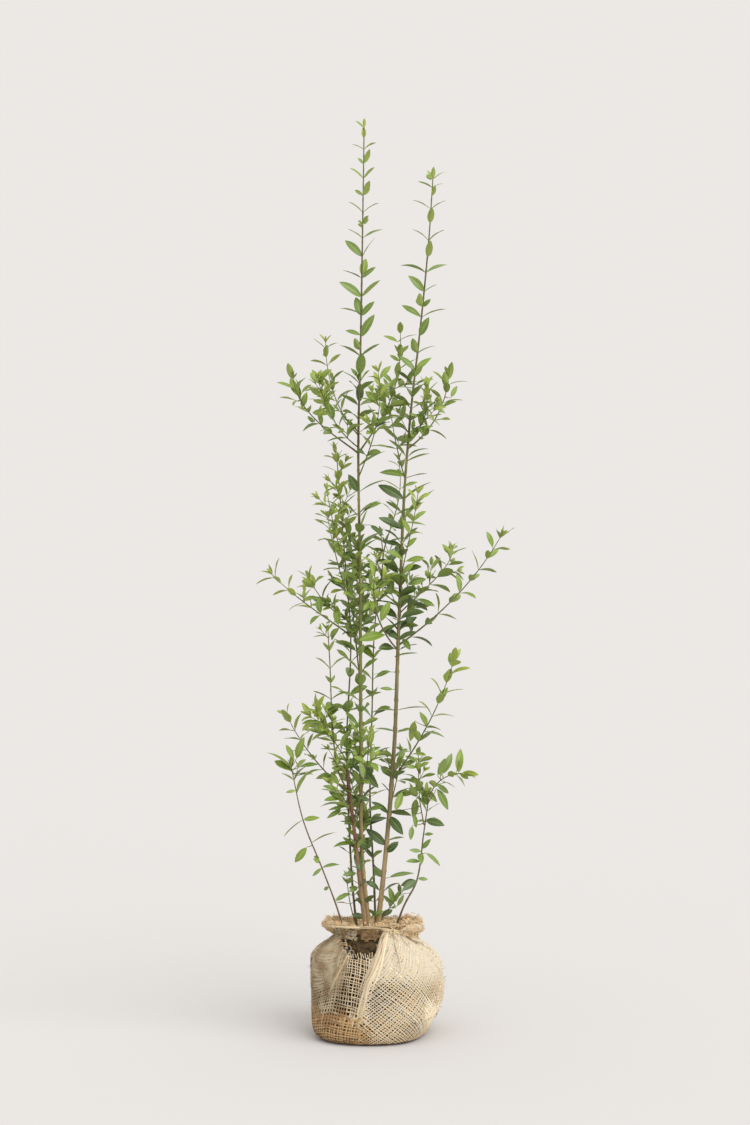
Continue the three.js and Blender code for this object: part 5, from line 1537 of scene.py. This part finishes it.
builder = Builder()
around, rings = 96, 15
th = np.arange(around) * TAU / around
share = np.linspace(1.0, 0.015, rings)[:, None]
over = SOIL_TOP + 10 + 5 * share**3 + 2.6 * np.sin(th * 9 + share * 5)[...] * share + 1.4 * np.sin(th * 23 + share * 11) * share
rim_z = over[0]
at_rim = wrapped(th, level_s(rim_z))
at_rim = wrapped(th, level_s(2 * rim_z - at_rim[:, 2]))  # the cloth slants, so its height is looked up once more
wide = np.hypot(at_rim[:, 0] - WRAP["neck_shift"], at_rim[:, 1]) - 2.2
wide = np.clip(wide, 66, 71 + 10 * smoothstep(np.sin(th), -0.6, -0.1))
mat = np.stack([WRAP["neck_shift"] + wide * share * np.cos(th), wide * share * np.sin(th), over], -1)
n_mat = rings * around
builder.add(np.concatenate([mat.reshape(-1, 3), mat.reshape(-1, 3) - [0, 0, 1.2]]), grid_faces(rings, around), 0)
builder.faces.append(grid_faces(rings, around)[:, ::-1] + n_mat)
builder.slots.append(np.zeros((rings - 1) * around, int))
j = np.arange(around)
k = (j + 1) % around
builder.faces.append(np.stack([k, j, j + n_mat, k + n_mat], -1))
builder.slots.append(np.zeros(around, int))
last = (rings - 1) * around
builder.faces.append(np.stack([last + j, last + k, last + k + n_mat, last + j + n_mat], -1))
builder.slots.append(np.zeros(around, int))
piece = builder.make("hessian_turned_in", [surface("hessian_mat", (238, 214, 170), 0.95, 0.04, 300, 0.7, specular=0.1, second=(206, 180, 134))])

# the flap of cloth inside the top of the tear, drawn dark brown as painted shade, with loose threads at its lower edge
builder = Builder()
across_n, down_n = 60, 22
fx = np.linspace(-62, 12, across_n)
low_edge = np.interp(fx, [-62, -52, -38, -24, -10, 2, 12], [184, 176, 178, 186, 195, 201, 204])
high_edge = np.interp(fx, [-62, -40, -10, 12], [204, 208, 209, 207])
U, V = np.meshgrid(fx, np.linspace(0, 1, down_n))
fz = high_edge + (low_edge - high_edge) * V + 1.2 * np.sin(U * 0.35) * V
depth = 79 - 5.0 * V * (1 - 0.5 * V) + 1.3 * np.sin(U * 0.42 + V * 2.0) * V + 0.35 * np.sin(U * 2.4)
fy = -np.sqrt(np.maximum(30.0, depth**2 - (U - WRAP["neck_shift"]) ** 2))
front_side = np.stack([U, fy, fz], -1)
back_side = front_side + np.array([0, 1.4, 0])
faces = grid_faces(down_n, across_n, closed=False)
total = across_n * down_n
builder.add(np.concatenate([front_side.reshape(-1, 3), back_side.reshape(-1, 3)]), faces[:, ::-1], np.where(r.random() < 2, 0, 0))
builder.faces.append(faces + total)
builder.slots.append(np.zeros(len(faces), int))
around_edge = np.concatenate([np.arange(across_n), np.arange(2, down_n + 1) * across_n - 1, total - 2 - np.arange(across_n - 1), np.arange(down_n - 2, 0, -1) * across_n])
nxt_edge = np.roll(around_edge, -1)
builder.faces.append(np.stack([around_edge, nxt_edge, nxt_edge + total, around_edge + total], -1))
builder.slots.append(np.zeros(len(around_edge), int))
for k in range(70):
    x = r.uniform(-58, 10)
    z = float(np.interp(x, fx, low_edge)) + r.uniform(-0.5, 6)
    y = -math.sqrt(max(30.0, 75.0**2 - (x - WRAP["neck_shift"]) ** 2)) - 0.8
    fibre(builder, r, (x, y, z), (r.gauss(0, 0.6), -0.2, -0.8), r.uniform(3, 8), r.uniform(0.3, 0.55), r.choice([0, 1]), 1.0)
piece = builder.make(
    "hessian_shaded_flap",
    [
        surface("hessian_shaded_flap_cloth", (142, 117, 82), 0.95, 0.04, 500, 0.7, specular=0.1, second=(108, 87, 58), stretch=(1, 1, 0.35)),
        surface("hessian_shaded_flap_thread", (150, 124, 88), 0.95, 0.04, 500, 0.7, specular=0.1),
    ],
)

# ---------------------------------------------------------------- twine round the neck
def twisted(builder, path, radius, strands=3, turn=5.0, slot=0, sides=5):
    """A laid cord: strands that wind round a path, turn is the length of one winding."""
    line = Line(path)
    d = np.arange(0, line.length, 1.6)
    p = line.at(d)
    way = unit(np.gradient(p, axis=0))
    n = unit(np.cross(way, np.array([0.1, 0.2, 1.0])))
    b = np.cross(way, n)
    for k in range(strands):
        a = (d / turn * TAU + k * TAU / strands)[:, None]
        q = p + (np.cos(a) * n + np.sin(a) * b) * radius * 0.5
        add_tube(builder, q, np.full(len(q), radius * 0.58), sides, slot=slot)


builder = Builder()


def tie(turn_no, ds, out):
    """One turn of the twine: pulled tight, it bridges the small folds of the neck."""
    th = np.linspace(0, TAU, 145)[:-1] + math.radians(-62)
    p = wrapped(th, NECK + ds - 7.5 * np.cos(th) + 6.5 * near(th, -152, 42) + 0.5 * np.sin(3 * th + turn_no * 2), 0.0)
    centre = np.array([WRAP["neck_shift"], 0.0])
    r_at = np.hypot(p[:, 0] - centre[0], p[:, 1] - centre[1])
    for _ in range(3):
        r_at = np.maximum(r_at, (np.roll(r_at, 1) + np.roll(r_at, -1)) / 2 + 0.02)
    out = out - 3.5 * near(th, 184, 26) - 2.5 * near(th, -8, 22)
    p[:, 0] = centre[0] + (r_at + out) * np.cos(th)
    p[:, 1] = centre[1] + (r_at + out) * np.sin(th)
    return np.concatenate([p, p[:1]])


for turn_no, (ds, out) in enumerate([(7.2, 1.9), (2.8, 2.1)]):
    twisted(builder, tie(turn_no, ds, out), 1.9, turn=8.0)
knot = wrapped(math.radians(-62), NECK + 1.5, 4.0)[()]
for k in range(3):
    t = np.linspace(0, TAU, 26)
    axis_turn = k * 1.1
    x = np.cos(t) * (4.6 - 0.4 * k)
    z = np.sin(t) * (3.4 + 0.3 * k)
    y = 1.6 * np.sin(2 * t + axis_turn) - 0.8 * k
    ca, sa = math.cos(axis_turn), math.sin(axis_turn)
    twisted(builder, np.stack([knot[0] + x * ca - z * sa, knot[1] + y, knot[2] + x * sa + z * ca], -1), 1.4)
r = random.Random(3)
for side, reach in ((-1, 24), (1, 17)):
    pts = [knot + np.array([side * 1.5, -1.0, -1.5])]
    w = unit(np.array([side * 0.45, -0.35, -0.75]))
    for i in range(8):
        pts.append(pts[-1] + w * reach / 8)
        w = unit(w + np.array([side * 0.05, 0.03, -0.09]))
    twisted(builder, np.array(pts), 1.1)
    for _ in range(10):
        fibre(builder, r, pts[-1], w + np.array([r.gauss(0, 0.4) for _ in range(3)]), r.uniform(3, 6), 0.25, 0, 0.5)
piece = builder.make("twine", [surface("twine_jute", (222, 204, 168), 0.8, 0.1, 700, 0.5, specular=0.2)])
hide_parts("twine_tie")

# ---------------------------------------------------------------- soil
def soil_ball():
    around, rings = 120, 70
    th = np.arange(around) * TAU / around
    low_s = float(np.interp(20, PROFILE[1][100:], PROFILE_S[100:]))
    top_s = float(np.interp(178, PROFILE[1][150:], PROFILE_S[150:]))
    s_side = np.linspace(low_s, top_s, 34)
    T, S = np.meshgrid(th, s_side)
    side = wrapped(T, S, -6.0)
    top_ring = side[-1]
    lumps = waves(91, 14, 0.12, 0.4)
    crumbs = waves(92, 14, 0.5, 1.3)
    shares = np.linspace(1, 0, 37)[1:-1]
    centre = np.array([-8.0, 0.0, SOIL_TOP + 2.0])
    tops = []
    for u in shares:
        ring = centre + (top_ring - centre) * u
        ring[:, 2] = SOIL_TOP + 2 + (top_ring[:, 2] - SOIL_TOP - 2) * u**3
        tops.append(ring)
    all_rings = np.concatenate([side, np.array(tops)])
    flat = all_rings.reshape(-1, 3)
    out = unit(np.concatenate([np.stack([side[..., 0], side[..., 1], side[..., 2] * 0], -1), np.tile([[[0, 0, 1.0]]], (len(tops), around, 1))]).reshape(-1, 3))
    moved = flat + out * (1.7 * lumps(flat) + 1.3 * crumbs(flat) - 1.4)[:, None]
    for name in ("left_leader", "right_leader", "old_stem", "thin_stem_left", "thin_stem_middle", "low_left_shoot", "low_right_shoot"):
        foot = lines[name].p[0]
        d = np.hypot(moved[:, 0] - foot[0], moved[:, 1] - foot[1])
        moved[:, 2] += (moved[:, 2] > 150) * 5.0 * np.exp(-((d / 9) ** 2))
    top_v = [centre[0], centre[1], SOIL_TOP + 2]
    foot_v = [0, 0, all_rings[0, :, 2].mean()]
    n = len(all_rings) * around
    b = Builder()
    b.add(np.concatenate([moved, [top_v, foot_v]]), grid_faces(len(all_rings), around), 0)
    j = np.arange(around)
    k = (j + 1) % around
    last = (len(all_rings) - 1) * around
    b.faces.append(np.stack([last + j, last + k, j * 0 + n], -1))
    b.slots.append(np.zeros(around, int))
    b.faces.append(np.stack([k, j, j * 0 + n + 1], -1))
    b.slots.append(np.zeros(around, int))
    return b


builder = soil_ball()
r = random.Random(12)


def crumb(builder, at, size, r, slot):
    """A lump of soil: an uneven eight-cornered stone."""
    phi = (1 + 5**0.5) / 2
    v = np.array([(-1, phi, 0), (1, phi, 0), (-1, -phi, 0), (1, -phi, 0), (0, -1, phi), (0, 1, phi), (0, -1, -phi), (0, 1, -phi), (phi, 0, -1), (phi, 0, 1), (-phi, 0, -1), (-phi, 0, 1)]) / 1.9
    f = [(0, 11, 5), (0, 5, 1), (0, 1, 7), (0, 7, 10), (0, 10, 11), (1, 5, 9), (5, 11, 4), (11, 10, 2), (10, 7, 6), (7, 1, 8), (3, 9, 4), (3, 4, 2), (3, 2, 6), (3, 6, 8), (3, 8, 9), (4, 9, 5), (2, 4, 11), (6, 2, 10), (8, 6, 7), (9, 8, 1)]
    grow = np.array([[r.uniform(0.65, 1.15)] for _ in range(12)]) * size
    stretch = np.array([r.uniform(0.8, 1.2), r.uniform(0.8, 1.2), r.uniform(0.6, 0.9)])
    builder.add(np.array(at) + v * grow * stretch, f, slot)


for _ in range(420):
    a, u = r.uniform(0, TAU), math.sqrt(r.random())
    at = (-8 + 68 * u * math.cos(a), 68 * u * math.sin(a), SOIL_TOP + 2.5 + r.uniform(-0.5, 1.2) + 3 * u**3)
    crumb(builder, at, r.uniform(0.9, 3.4), r, r.choice([0, 0, 1]))
for _ in range(380):  # and in the tear
    x = r.uniform(WRAP["tear"]["left"] - 4, WRAP["tear"]["right"] + 2)
    z = r.uniform(158, 190)
    y = -math.sqrt(max(1, np.interp(z, [158, 170, 190], [96, 84, 68]) ** 2 - (x + 8) ** 2)) + r.uniform(0, 4)
    crumb(builder, (x, y, z), r.uniform(0.7, 3.2), r, r.choice([0, 1, 1]))
for _ in range(60):  # fine roots
    a, u = r.uniform(0, TAU), math.sqrt(r.random())
    at = (-8 + 62 * u * math.cos(a), 62 * u * math.sin(a), SOIL_TOP + 3)
    fibre(builder, r, at, (r.gauss(0, 1), r.gauss(0, 1), 0.35), r.uniform(8, 22), r.uniform(0.25, 0.5), 2, 0.6, 0.6)
piece = builder.make(
    "soil",
    [
        # painted shade: the soil is drawn very dark, partly its own colour and partly the shade in the tear and under
        # the collar
        surface("soil_dark_and_shade", (44, 35, 24), 0.92, 0.06, 320, 0.9, specular=0.15, second=(86, 70, 46)),
        surface("soil_crumb", (112, 92, 62), 0.95, 0.04, 300, 0.8, specular=0.1, second=(60, 48, 33)),
        surface("fine_root", (150, 122, 88), 0.85, 0.08, 500, 0.3, specular=0.2),
    ],
    sharp_angle=math.radians(50),
)
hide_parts("root_ball")

# ---------------------------------------------------------------- stage, light and camera
BACK = (236, 232, 229)
back = np.array(linear(BACK))
scene = bpy.context.scene
scene.view_settings.view_transform = "Standard"
scene.view_settings.look = "None"
scene.view_settings.exposure = 0
scene.view_settings.gamma = 1
world = bpy.data.worlds.new("studio")
scene.world = world
world.use_nodes = True
world.node_tree.nodes["Background"].inputs["Color"].default_value = (*back, 1)
world.node_tree.nodes["Background"].inputs["Strength"].default_value = 1.0


def sun(name, towards, strength, angle):
    data = bpy.data.lights.new(name, "SUN")
    data.energy = strength
    data.angle = math.radians(angle)
    obj = bpy.data.objects.new(name, data)
    obj.rotation_mode = "QUATERNION"
    obj.rotation_quaternion = Vector(towards).to_track_quat("-Z", "Y")
    scene.collection.objects.link(obj)
    way = Vector(towards).normalized()
    return strength * max(0, -way.z) / math.pi


lit = sun("key", (-0.66, 0.62, -0.6), 2.1, 62)
lit += sun("top", (0.25, 0.2, -1.0), 0.55, 80)

floor_mesh = bpy.data.meshes.new("floor")
size, z = 60.0, -0.0005
floor_mesh.from_pydata([(-size, -size, z), (size, -size, z), (size, size, z), (-size, size, z)], [], [(0, 1, 2, 3)])
floor = bpy.data.objects.new("floor", floor_mesh)
scene.collection.objects.link(floor)
paper = bpy.data.materials.new("floor_paper")
paper.use_nodes = True
p = paper.node_tree.nodes["Principled BSDF"]
p.inputs["Base Color"].default_value = (*(back / (back + lit)), 1)
p.inputs["Roughness"].default_value = 1.0
p.inputs["Specular IOR Level"].default_value = 0.0
floor_mesh.materials.append(paper)
floor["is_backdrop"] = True

camera_data = bpy.data.cameras.new("camera")
camera = bpy.data.objects.new("camera", camera_data)
scene.collection.objects.link(camera)
camera.location = (-0.0038, -3.6, 0.885)
camera.rotation_euler = (math.pi / 2, 0, 0)
camera_data.sensor_fit = "AUTO"
camera_data.sensor_width = 36
camera_data.lens = 18 / math.tan(math.atan(1125 * 1.887 / 2 / 3600))
camera_data.clip_end = 200
scene.camera = camera

low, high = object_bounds()
